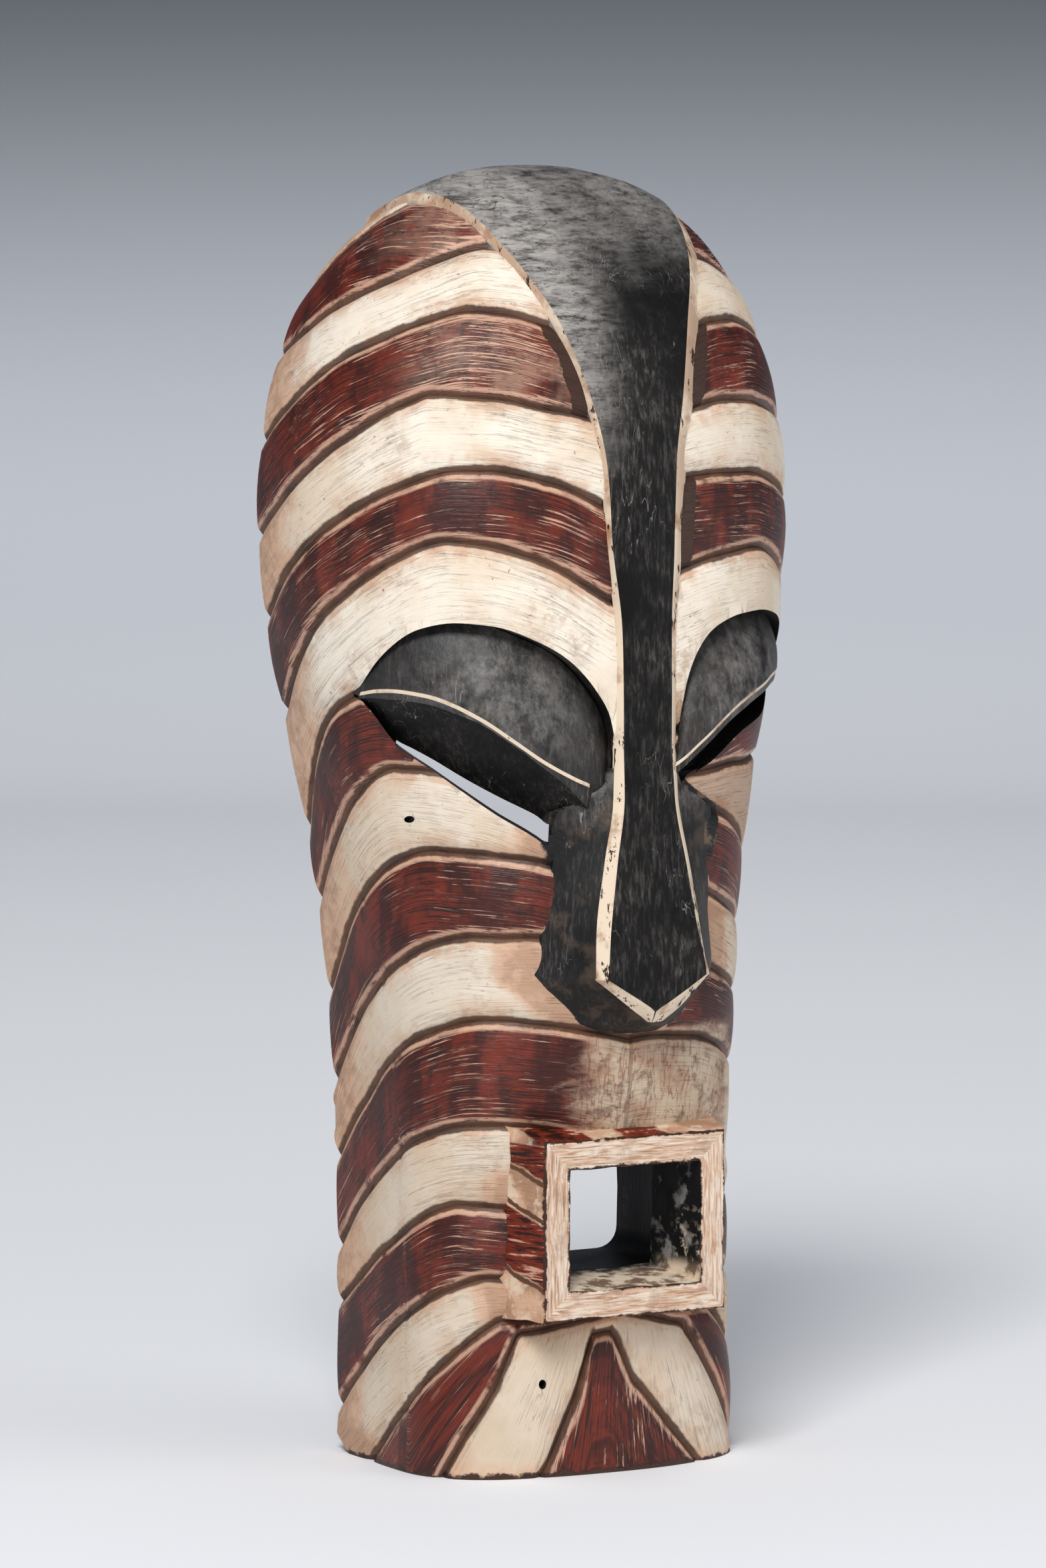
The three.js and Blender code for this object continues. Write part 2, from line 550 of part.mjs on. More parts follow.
/** Rectangle in an upright plane at depth y, turning left as seen from the front. */
function uprightRectangle(half, low, high, y) {
  const corners = [[-half, low], [half, low], [half, high], [-half, high]];
  return corners.map(([x, z]) => new THREE.Vector3(x, y, z));
}

function mouthBox() {
  const front = FRONT + MOUTH_SETBACK;
  const ring = (depth) => {
    const spread = MOUTH_FLARE * depth;
    const top = MOUTH_SILL + MOUTH_HEIGHT + spread;
    return uprightRectangle(MOUTH_WIDTH / 2 + spread, MOUTH_SILL, top, front + depth);
  };
  return loft([ring(0), ring(MOUTH_ROOT)]);
}

function mouthTunnel() {
  const front = FRONT + MOUTH_SETBACK;
  const ring = (depth) => {
    const inset = MOUTH_LIP + TUNNEL_TAPER * depth;
    const top = MOUTH_SILL + MOUTH_HEIGHT - inset;
    return uprightRectangle(MOUTH_WIDTH / 2 - inset, MOUTH_SILL + inset, top, front + depth);
  };
  return loft([ring(-MOUTH_SETBACK), ring(DEPTH / 2)]);
}

/** Skin point of an eye outline on one side of the face. */
function eyePoint([x, level], side) {
  const z = level * HEIGHT;
  return new THREE.Vector3(side * x * HALF, faceFront(x * HALF, z), z);
}

/** Rings for the right eye turn the other way, because its rows mirror those of the left one. */
const facing = (ring, side) => (side < 0 ? ring : [...ring].reverse());

/** How open the eye is at row k: little at its corners, whole over its middle. */
const eyeFullness = (rows, k) => Math.sin((Math.PI * (k + 0.35)) / rows.length) ** 0.6;

/** Straight cutter through an outline on the face, from depth start to depth end along a direction. */
function cutAlong(outline, direction, start, end, side) {
  const ringAt = (depth) => outline.map((point) => point.clone().addScaledVector(direction, depth));
  return loft([facing(ringAt(start), -side), facing(ringAt(end), -side)]);
}

/** Cutter for the whole eye, from the top of the socket to the foot of the slit. */
function eyePocket(rows, side) {
  const arc = rows.map((row) => eyePoint(row.arc, side));
  const foot = rows.map(({ slit: [x, level], opening }) => [x, level - opening / 2 / HEIGHT]);
  const inward = new THREE.Vector3(-side * SOCKET_SLANT, 1, 0).normalize();
  const outline = [...arc, ...foot.reverse().map((place) => eyePoint(place, side))];
  return cutAlong(outline, inward, -REACH, SOCKET_DEPTH + POCKET_MARGIN, side);
}

/** Direction the slit is cut in, towards the middle of the hollow. */
const slitDirection = (side) => new THREE.Vector3(-side * Math.sin(SLIT_SLANT), Math.cos(SLIT_SLANT), 0);

/** The lid: down from the socket's arc to the ridge, its flat edge, and back under to the slit. */
function eyeLid(rows, side) {
  const slant = slitDirection(side);
  const rings = rows.map((row, k) => {
    const full = eyeFullness(rows, k);
    const ridge = eyePoint(row.ridge, side);
    const edge = eyePoint([row.ridge[0], row.ridge[1] - row.edge / HEIGHT], side);
    ridge.y -= LID_RISE * full;
    edge.y -= (LID_RISE - EDGE_SETBACK) * full;
    const foot = eyePoint(row.slit, side).addScaledVector(slant, UNDER_LID_DEPTH * full);
    const footRoot = foot.clone().addScaledVector(slant, LID_ROOT);
    const floor = eyePoint(row.arc, side);
    floor.y += SOCKET_DEPTH * full;
    const floorRoot = floor.clone().add(new THREE.Vector3(0, LID_ROOT, 1));
    return facing([ridge, floor, floorRoot, footRoot, foot, edge], side);
  });
  return loft(rings);
}

/** Cutter for the slit under the lid. */
function eyeSlit(rows, side) {
  const open = rows.filter((row) => row.opening > 0);
  const top = open.map(({ slit: [x, level] }) => eyePoint([x, level + SLIT_BITE / HEIGHT], side));
  const foot = open.map(({ slit: [x, level], opening }) => [x, level - opening / HEIGHT]);
  const outline = [...top, ...foot.reverse().map((place) => eyePoint(place, side))];
  return cutAlong(outline, slitDirection(side), -REACH / 2, REACH / 2, side);
}

/** Block between its lowest and its highest corner, as a cutter. */
function block(low, high) {
  const size = low.map((value, k) => high[k] - value);
  const middle = low.map((value, k) => (high[k] + value) / 2);
  return new THREE.BoxGeometry(...size).translate(...middle);
}

/** Wedge that takes off the worn corner at the foot of both back edges. */
function cornerWedge() {
  const below = BACK - CORNER_LENGTH;
  const behind = BACK + REACH;
  const profile = [[below, -SLIVER], [behind, -SLIVER], [behind, CORNER_RISE], [BACK, CORNER_RISE]];
  const ring = (x) => profile.map(([y, z]) => new THREE.Vector3(x, y, z)).reverse();
  return loft([ring(-WIDTH), ring(WIDTH)]);
}

function carveMask() {
  let wood = solidOf(bandedHead());
  const eyes = [[LEFT_EYE, -1], [RIGHT_EYE, 1]];
  for (const [rows, side] of eyes) {
    wood = wood.subtract(solidOf(eyePocket(rows, side))).add(solidOf(eyeLid(rows, side)));
  }
  wood = wood.add(solidOf(nose())).add(solidOf(crest())).add(solidOf(mouthBox()));
  wood = wood.subtract(solidOf(hollow())).subtract(solidOf(mouthTunnel()));
  for (const [rows, side] of eyes) wood = wood.subtract(solidOf(eyeSlit(rows, side)));
  const behind = block([-WIDTH, BACK, -HEIGHT], [WIDTH, BACK + 2 * WIDTH, 2 * HEIGHT]);
  const below = block([-WIDTH, -WIDTH, -HEIGHT], [WIDTH, WIDTH, 0]);
  wood = wood.subtract(solidOf(behind)).subtract(solidOf(below)).subtract(solidOf(cornerWedge()));
  return wood.simplify(SLIVER);
}

function meshFromSolid(name, solid, material) {
  const { vertProperties, triVerts } = solid.getMesh();
  const geometry = new THREE.BufferGeometry();
  geometry.setAttribute('position', new THREE.Float32BufferAttribute(vertProperties, 3));
  geometry.setIndex(new THREE.Uint32BufferAttribute(triVerts, 1));
  const mesh = new THREE.Mesh(geometry, material);
  mesh.name = name;
  return mesh;
}

const paintedWood = new THREE.MeshStandardMaterial({ color: 0xd9c4a8, roughness: 0.6, metalness: 0 });

const mask = new THREE.Group();
mask.add(meshFromSolid('mask', carveMask(), paintedWood));

export default mask;
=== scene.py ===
"""Looks of the songye kifwebe mask.

The carved form in fine detail, its worn paint, and the studio around it.
"""

import logging
import math
from dataclasses import dataclass, field, replace
from enum import Enum, IntEnum
from typing import Optional, Sequence

import bpy
import numpy as np
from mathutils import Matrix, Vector, noise
from mathutils.kdtree import KDTree


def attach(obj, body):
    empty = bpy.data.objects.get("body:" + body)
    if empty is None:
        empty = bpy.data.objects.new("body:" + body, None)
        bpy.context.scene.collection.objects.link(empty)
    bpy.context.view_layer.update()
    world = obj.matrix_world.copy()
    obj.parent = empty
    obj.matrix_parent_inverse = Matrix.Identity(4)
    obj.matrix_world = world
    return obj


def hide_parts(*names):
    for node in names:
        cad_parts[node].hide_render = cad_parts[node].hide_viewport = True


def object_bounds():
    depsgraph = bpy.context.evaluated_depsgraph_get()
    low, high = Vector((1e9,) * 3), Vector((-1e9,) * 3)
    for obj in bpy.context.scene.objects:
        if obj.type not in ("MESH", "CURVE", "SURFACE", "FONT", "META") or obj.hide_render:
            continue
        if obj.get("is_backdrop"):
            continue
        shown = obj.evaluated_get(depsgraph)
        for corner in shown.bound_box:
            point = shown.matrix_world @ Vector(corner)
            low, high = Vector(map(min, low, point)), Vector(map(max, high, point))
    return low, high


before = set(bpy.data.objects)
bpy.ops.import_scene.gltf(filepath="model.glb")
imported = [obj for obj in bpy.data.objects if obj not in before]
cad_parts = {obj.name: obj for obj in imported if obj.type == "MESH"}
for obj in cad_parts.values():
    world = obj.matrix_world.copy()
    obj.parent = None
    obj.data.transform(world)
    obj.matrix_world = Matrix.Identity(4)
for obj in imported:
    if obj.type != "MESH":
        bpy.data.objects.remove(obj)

LOG = logging.getLogger("mask")
MM = 0.001
# Picks the pattern of unevenness, so that each run carves the same mask.
NOISE_SEED = 7

Array = np.ndarray
Socket = bpy.types.NodeSocket
Paint = tuple[int, int, int]
Span = tuple[float, float]


class Region(IntEnum):
    """Parts of the surface that are finished differently; the value is the material's place on the mesh."""

    SKIN = 0
    CREST = 1
    BEVEL = 2
    NOSE = 3
    MOUTH_FRONT = 4
    MOUTH_SIDE = 5
    TUNNEL = 6
    EYE = 7
    LID_EDGE = 8
    LEAF = 9
    HOLLOW = 10
    CUT = 11


class Join(Enum):
    """How one solid is put together with another."""

    ADD = "UNION"
    CUT = "DIFFERENCE"


def smooth_at(points: Sequence[Sequence[float]], at: Array) -> Array:
    """Follow a smooth curve that never overshoots its points.

    Args:
        points: the curve's points, as (place, value), in rising order.
        at: the places to read; outside the points the end values hold.

    Returns:
        The values at those places.
    """
    table = np.asarray(points, float)
    x, y = table[:, 0], table[:, 1]
    grade = np.diff(y) / np.diff(x)
    slope = np.empty(len(x))
    slope[0], slope[-1] = grade[0], grade[-1]
    before, after = grade[:-1], grade[1:]
    same = before * after > 0
    total = np.where(same, before + after, 1.0)
    slope[1:-1] = np.where(same, 2 * before * after / total, 0.0)
    place = np.clip(at, x[0], x[-1])
    i = np.clip(np.searchsorted(x, place, side="left") - 1, 0, len(x) - 2)
    span = x[i + 1] - x[i]
    t = (place - x[i]) / span
    rise = y[i + 1] - y[i]
    m0, m1 = slope[i] * span, slope[i + 1] * span
    return y[i] + m0 * t + (3 * rise - 2 * m0 - m1) * t**2 + (m0 + m1 - 2 * rise) * t**3


def straight_at(points: Sequence[Sequence[float]], at: Array) -> Array:
    """Read the values at places on straight lines through points, given as (place, value) in rising order."""
    table = np.asarray(points, float)
    return np.interp(at, table[:, 0], table[:, 1])


def step(low: float, high: float, at: Array) -> Array:
    """Rise smoothly from 0 to 1 between two places, low and high."""
    t = np.clip((at - low) / (high - low), 0, 1)
    return t * t * (3 - 2 * t)


def between(at: Array, rise: Span, fall: Span) -> Array:
    """Rise smoothly from 0 to 1 within one span of places, and fall back to 0 within another."""
    return step(*rise, at) * (1 - step(*fall, at))


@dataclass(frozen=True)
class Walls:
    """Wood left around the hollow, in millimetres."""

    side: float | Array = 0.0
    front: float | Array = 0.0
    top: float = 0.0


@dataclass(frozen=True)
class Section:
    """Horizontal sections of the head, one value for each height."""

    half: Array
    reach: Array
    tail: Array
    middle: Array
    square: Array


@dataclass(frozen=True)
class Sweep:
    """A groove on one side of the face: it rises from the crest to its top and falls to the back edge.

    Levels are shares of the mask's height; the crown is a share of the way round to the back edge.
    """

    crown: float
    inner: float
    top: float
    edge: float
    fall: float

    def level(self, turn: Array) -> Array:
        """Read the groove's level.

        Args:
            turn: shares of the way round, from 0 at the middle of the face.

        Returns:
            Levels as shares of the mask's height.
        """
        near = self.top - (self.top - self.inner) * ((self.crown - turn) / self.crown) ** 2
        far = np.clip((turn - self.crown) / (1 - self.crown), 0, None)
        return np.where(turn < self.crown, near, self.top - (self.top - self.edge) * far**self.fall)


@dataclass(frozen=True)
class Groove:
    """A groove across the whole face; only is -1 or 1 where it is cut on the left or the right alone."""

    left: Sweep
    right: Optional[Sweep] = None
    only: int = 0


def sweeping_grooves() -> list[Groove]:
    """List the grooves from the forehead to the chin.

    Returns:
        The grooves in falling order.
    """
    left = [
        Sweep(0.6, 0.985, 0.971, 0.905, 2.2),
        Sweep(0.35, 0.898, 0.94, 0.854, 1.25),
        Sweep(0.37, 0.848, 0.89, 0.787, 1.6),
        Sweep(0.47, 0.798, 0.828, 0.716, 1.1),
        Sweep(0.4, 0.727, 0.772, 0.652, 1.4),
        Sweep(0.42, 0.65, 0.717, 0.579, 1.4),
        Sweep(0.56, 0.504, 0.603, 0.487, 2.2),
        Sweep(0.59, 0.473, 0.544, 0.431, 1.4),
        Sweep(0.48, 0.454, 0.481, 0.36, 1.8),
        Sweep(0.4, 0.411, 0.417, 0.29, 1.7),
        Sweep(0.4, 0.375, 0.385, 0.26, 1.65),
        Sweep(0.38, 0.334, 0.3535, 0.231, 1.6),
        Sweep(0.4, 0.25, 0.272, 0.16, 1.6),
        Sweep(0.43, 0.192, 0.21, 0.117, 1.25),
        Sweep(0.35, 0.142, 0.155, 0.035, 1.4),
        Sweep(0.32, 0.132, 0.121, -0.054, 1.1),
    ]
    right = {
        1: replace(left[1], top=0.932),
        2: replace(left[2], top=0.883),
        3: replace(left[3], crown=0.3, top=0.822, fall=2),
        4: replace(left[4], crown=0.25, inner=0.757, top=0.767, fall=2),
        5: replace(left[5], crown=0.38, inner=0.68, top=0.7075),
        6: replace(left[6], inner=0.56),
        7: replace(left[7], inner=0.537),
        8: replace(left[8], crown=0.05, inner=0.516, top=0.518, edge=0.338),
        9: replace(left[9], crown=0.02, inner=0.47, top=0.47, edge=0.345, fall=1.1),
        10: replace(left[10], crown=0.1, inner=0.393, top=0.393, edge=0.268),
        11: replace(left[11], crown=0.1, inner=0.336, top=0.337, edge=0.2, fall=1.8),
        12: replace(left[12], crown=0.1, inner=0.26, top=0.26, edge=0.165),
    }
    only = {10: 1, 12: -1}
    return [Groove(sweep, right.get(k), only.get(k, 0)) for k, sweep in enumerate(left)]


@dataclass
class Head:
    """The smooth form of the head and the grooves that band it, in millimetres."""

    height: float = 520.0
    width: float = 218.0
    depth: float = 136.0
    brow: float = 0.721
    crown_middle: float = 0.244
    round_across: float = 2.35
    round_front: float = 2.33
    round_back: float = 1.67
    crest_rise: float = 3.0
    swell: float = 0.7
    back_margin: float = 0.5
    groove_width: float = 6.0
    groove_depth: float = 2.2
    shoulder_share: float = 0.3
    hidden_way: float = 0.08
    buried: float = -8.0
    buried_room: float = 26.0
    buried_ease: float = 52.0
    way_step: float = 0.004
    slope_step: float = 0.01
    height_step: float = 0.4
    # Level, then shares: half width, front, middle; then the section's squareness and its tail.
    sections: tuple[tuple[float, ...], ...] = (
        (-0.077, 0.665, 0.75, 0.445, 2.5, 1.68),
        (0, 0.665, 0.757, 0.445, 2.5, 1.68),
        (0.115, 0.66, 0.765, 0.441, 2.3, 1.71),
        (0.231, 0.665, 0.787, 0.419, 2.2, 1.74),
        (0.346, 0.693, 0.851, 0.386, 2.1, 1.6),
        (0.4615, 0.761, 0.901, 0.287, 2.05, 1.41),
        (0.577, 0.881, 0.925, 0.232, 2.05, 1.125),
        (0.654, 0.963, 0.915, 0.246, 2.05, 1.12),
        (0.721, 1, 0.899, 0.25, 2, 1.05),
    )
    # The two grooves under the mouth, as way round and level.
    rays: tuple[tuple[Span, ...], ...] = (
        (
            (-1, -0.26), (-0.459, 0.008), (-0.327, 0.073), (-0.27, 0.112),
            (0, 0.125), (0.215, 0.11), (0.44, 0.027), (1, -0.19),
        ),
        (
            (-1, -0.42), (-0.192, 0.008), (-0.111, 0.062), (-0.07, 0.108),
            (-0.012, 0.11), (0.057, 0.071), (0.255, 0.008), (1, -0.25),
        ),
    )
    grooves: list[Groove] = field(default_factory=sweeping_grooves)
    girth_steps: int = 72

    @property
    def skin_top(self) -> float:
        """Height of the top of the skin, under the crest."""
        return self.height - self.crest_rise

    @property
    def back(self) -> float:
        """Depth of the plane the back is cut at."""
        return self.depth / 2

    @property
    def groove_count(self) -> int:
        """How many grooves there are, with those under the mouth."""
        return len(self.grooves) + len(self.rays)

    @staticmethod
    def rounding(share: Array, power: float) -> Array:
        """Round the head off: factors from 1 at the brow to 0 at the crown, by shares of the way between."""
        return (1 - share**power) ** (1 / power)

    def section(self, z: Array, walls: Walls = Walls()) -> Section:
        """Cut the head across.

        Args:
            z: heights.
            walls: wood by which the section is drawn in.

        Returns:
            The sections at those heights.
        """
        z = np.asarray(z, float)
        table = np.asarray(self.sections)
        base = np.minimum(z / self.height, self.brow)
        column = [smooth_at(table[:, [0, k]], base) for k in range(1, 6)]
        half, front, middle, square, tail = column
        brow = self.brow * self.height
        t = np.clip((z - brow) / (self.skin_top - walls.top - brow), 0, 1)
        return Section(
            half=(half * (self.width / 2 - self.swell) - walls.side) * self.rounding(t, self.round_across),
            reach=((front - middle) * self.depth - walls.front) * self.rounding(t, self.round_front),
            tail=tail * self.depth * self.rounding(t, self.round_back),
            middle=self.back - self.depth * (middle + (self.crown_middle - middle) * t * t),
            square=square,
        )

    @staticmethod
    def on_section(section: Section, angle: Array, z: Array) -> Array:
        """Find points round sections.

        Args:
            section: the sections.
            angle: angles from the front, positive to the right.
            z: heights of the points.

        Returns:
            Points, with the last axis x, y, z.
        """
        ahead = np.cos(angle)
        bend = np.where(ahead > 0, 2 / section.square, 1.0)
        x = np.sign(angle) * section.half * np.abs(np.sin(angle)) ** bend
        away = np.abs(ahead) ** bend
        y = section.middle + np.where(ahead > 0, -section.reach, section.tail) * away
        return np.stack(np.broadcast_arrays(x, y, z), axis=-1)

    def back_angle(self, section: Section) -> Array:
        """Find the angle at which sections meet the back plane.

        Args:
            section: the sections.

        Returns:
            Angles in radians.
        """
        past = self.back + self.back_margin - section.middle
        ratio = np.clip(past / np.maximum(section.tail, 1e-6), -1, 1)
        return np.minimum(math.pi / 2 + np.arcsin(ratio), 0.9 * math.pi)

    def angles(self, section: Section, way: Array) -> tuple[Array, Array]:
        """Turn shares of the way round into angles.

        Args:
            section: one section for each share.
            way: shares of the way round, negative to the left.

        Returns:
            The angles, and the whole girth from the middle of the face to the back plane.
        """
        end = self.back_angle(section)
        wide = Section(*(np.asarray(v)[:, None] for v in vars(section).values()))
        turn = np.linspace(0, 1, self.girth_steps + 1)[None] * end[:, None]
        walk = self.on_section(wide, turn, np.zeros_like(turn))
        lengths = np.linalg.norm(np.diff(walk, axis=1), axis=2)
        total = np.concatenate([np.zeros((len(end), 1)), np.cumsum(lengths, axis=1)], axis=1)
        target = np.abs(way) * total[:, -1]
        k = np.clip((total < target[:, None]).sum(axis=1), 1, self.girth_steps)
        row = np.arange(len(end))
        part = (target - total[row, k - 1]) / np.maximum(total[row, k] - total[row, k - 1], 1e-9)
        return np.sign(way) * end * (k - 1 + part) / self.girth_steps, total[:, -1]

    def skin(self, way: Array, z: Array) -> Array:
        """Find points of the smooth skin.

        Args:
            way: shares of the way round.
            z: heights.

        Returns:
            Points, one for each pair.
        """
        height = np.minimum(z, self.skin_top - 0.02)
        section = self.section(height)
        angle, _ = self.angles(section, way)
        return self.on_section(section, angle, height)

    def frame(self, way: Array, z: Array) -> tuple[Array, Array, Array]:
        """Find the directions of the skin.

        Args:
            way: shares of the way round.
            z: heights.

        Returns:
            Steps across for a whole way round, steps up for a millimetre of height, and normals.
        """
        aside, higher = self.way_step, self.height_step
        across = (self.skin(way + aside, z) - self.skin(way - aside, z)) / (2 * aside)
        up = (self.skin(way, z + higher) - self.skin(way, z - higher)) / (2 * higher)
        out = np.cross(across, up)
        length = np.linalg.norm(out, axis=1, keepdims=True)
        return across, up, out / np.maximum(length, 1e-9)

    def front(self, x: Array, z: Array) -> Array:
        """Find the depth of the front of the face.

        Args:
            x: places across.
            z: heights.

        Returns:
            Depths y.
        """
        section = self.section(z)
        share = np.clip(np.abs(x) / section.half, 0, 0.999)
        return section.middle - section.reach * (1 - share**section.square) ** (1 / section.square)

    def groove_height(self, k: int, way: Array) -> Array:
        """Find the height of a groove.

        Args:
            k: the groove's number from the top.
            way: shares of the way round.

        Returns:
            Heights, with those under the ground drawn together.
        """
        if k >= len(self.grooves):
            level = straight_at(self.rays[k - len(self.grooves)], way)
        else:
            groove = self.grooves[k]
            left = groove.left.level(np.abs(way))
            right = (groove.right or groove.left).level(np.abs(way))
            share = np.clip((way / self.hidden_way + 1) / 2, 0, 1)
            level = left + (right - left) * share
        z = level * self.height
        under = self.buried - np.minimum(z, self.buried)
        squeezed = self.buried - self.buried_room * under / (self.buried_ease + under)
        return np.where(z > self.buried, z, squeezed)

    def groove_depth_at(self, k: int, way: Array) -> Array:
        """Find how deep a groove is cut.

        Args:
            k: the groove's number.
            way: shares of the way round.

        Returns:
            Depths.
        """
        only = self.grooves[k].only if k < len(self.grooves) else 0
        if not only:
            return np.full_like(way, self.groove_depth)
        return self.groove_depth * np.clip(way * only / self.hidden_way, 0, 1)

    def groove_half(self, k: int, way: Array, gap: Array) -> Array:
        """Find how far above or below a groove its shoulder lies.

        Args:
            k: the groove's number.
            way: shares of the way round.
            gap: room to the next groove.

        Returns:
            Heights.
        """
        z = self.groove_height(k, way)
        across, up, _ = self.frame(way, z)
        aside = self.slope_step
        rise = (self.groove_height(k, way + aside) - self.groove_height(k, way - aside)) / (2 * aside)
        slope = rise / np.linalg.norm(across, axis=1)
        stretch = np.linalg.norm(up, axis=1)
        half = self.groove_width / 2 * np.hypot(1, slope * stretch) / stretch
        return np.minimum(half, self.shoulder_share * gap)


class Solid:
    """Meshes as closed solids that can be joined and cut."""

    @staticmethod
    def make(
        name: str, points: Array, faces: list[tuple[int, ...]], regions: Sequence[int]
    ) -> bpy.types.Object:
        """Make an object from points in millimetres.

        Args:
            name: the object's name.
            points: its vertices.
            faces: its faces.
            regions: the region of each face.

        Returns:
            The object, in metres.
        """
        mesh = bpy.data.meshes.new(name)
        mesh.from_pydata((np.asarray(points) * MM).tolist(), [], faces)
        for _ in Region:
            mesh.materials.append(None)
        mesh.polygons.foreach_set("material_index", np.asarray(regions, np.int32))
        mesh.update()
        thing = bpy.data.objects.new(name, mesh)
        bpy.context.scene.collection.objects.link(thing)
        return thing

    @classmethod
    def loft(
        cls,
        name: str,
        rings: Array,
        region: Region | Sequence[Region],
        start: Optional[Array] = None,
        caps: Optional[tuple[Region, Region]] = None,
    ) -> bpy.types.Object:
        """Stretch a closed skin over rings.

        Args:
            name: the object's name.
            rings: rings of points, turning left as seen from the first.
            region: the region of the sides, or one for each column.
            start: tip at the first ring; its middle if left out.
            caps: regions of the two ends.

        Returns:
            The object.
        """
        rows, count, _ = rings.shape
        columns = list(region) if isinstance(region, (list, tuple)) else [region] * count
        tips = [rings[0].mean(0) if start is None else start, rings[-1].mean(0)]
        points = np.concatenate([rings.reshape(-1, 3), tips])
        first, last = rows * count, rows * count + 1
        faces: list[tuple[int, ...]] = []
        regions: list[int] = []
        ends = caps or (columns[0], columns[0])
        base = (rows - 1) * count
        for j in range(count):
            n = (j + 1) % count
            faces.append((first, j, n))
            regions.append(ends[0])
            faces.append((last, base + n, base + j))
            regions.append(ends[1])
        for i in range(rows - 1):
            here, there = i * count, (i + 1) * count
            for j in range(count):
                n = (j + 1) % count
                faces.append((here + j, there + j, there + n, here + n))
                regions.append(columns[j])
        return cls.make(name, points, faces, regions)

    @staticmethod
    def combine(target: bpy.types.Object, other: bpy.types.Object, join: Join) -> None:
        """Join or cut one solid with another, which is used up.

        Args:
            target: the solid that is changed.
            other: the solid that is added or taken away.
            join: what is done.
        """
        modifier = target.modifiers.new("join", "BOOLEAN")
        modifier.operation = join.value
        modifier.solver = "MANIFOLD"
        modifier.object = other
        graph = bpy.context.evaluated_depsgraph_get()
        made = bpy.data.meshes.new_from_object(target.evaluated_get(graph), depsgraph=graph)
        target.modifiers.clear()
        old, target.data = target.data, made
        bpy.data.meshes.remove(old)
        bpy.data.objects.remove(other)


@dataclass(frozen=True)
class Ripple:
    """Unevenness left by a hand-held blade: how wide it is, how far it moves points, and which pattern."""

    size: float
    amount: float
    pattern: float

    def move(self, points: Array) -> Array:
        """Move points about a little.

        Args:
            points: points in millimetres.

        Returns:
            The moved points.
        """
        flat = points.reshape(-1, 3)
        moved = np.empty_like(flat)
        shift = Vector((self.pattern, self.pattern * 1.7, -self.pattern))
        for i, point in enumerate(flat):
            moved[i] = noise.noise_vector(Vector(point) / self.size + shift)
        return points + moved.reshape(points.shape) * self.amount


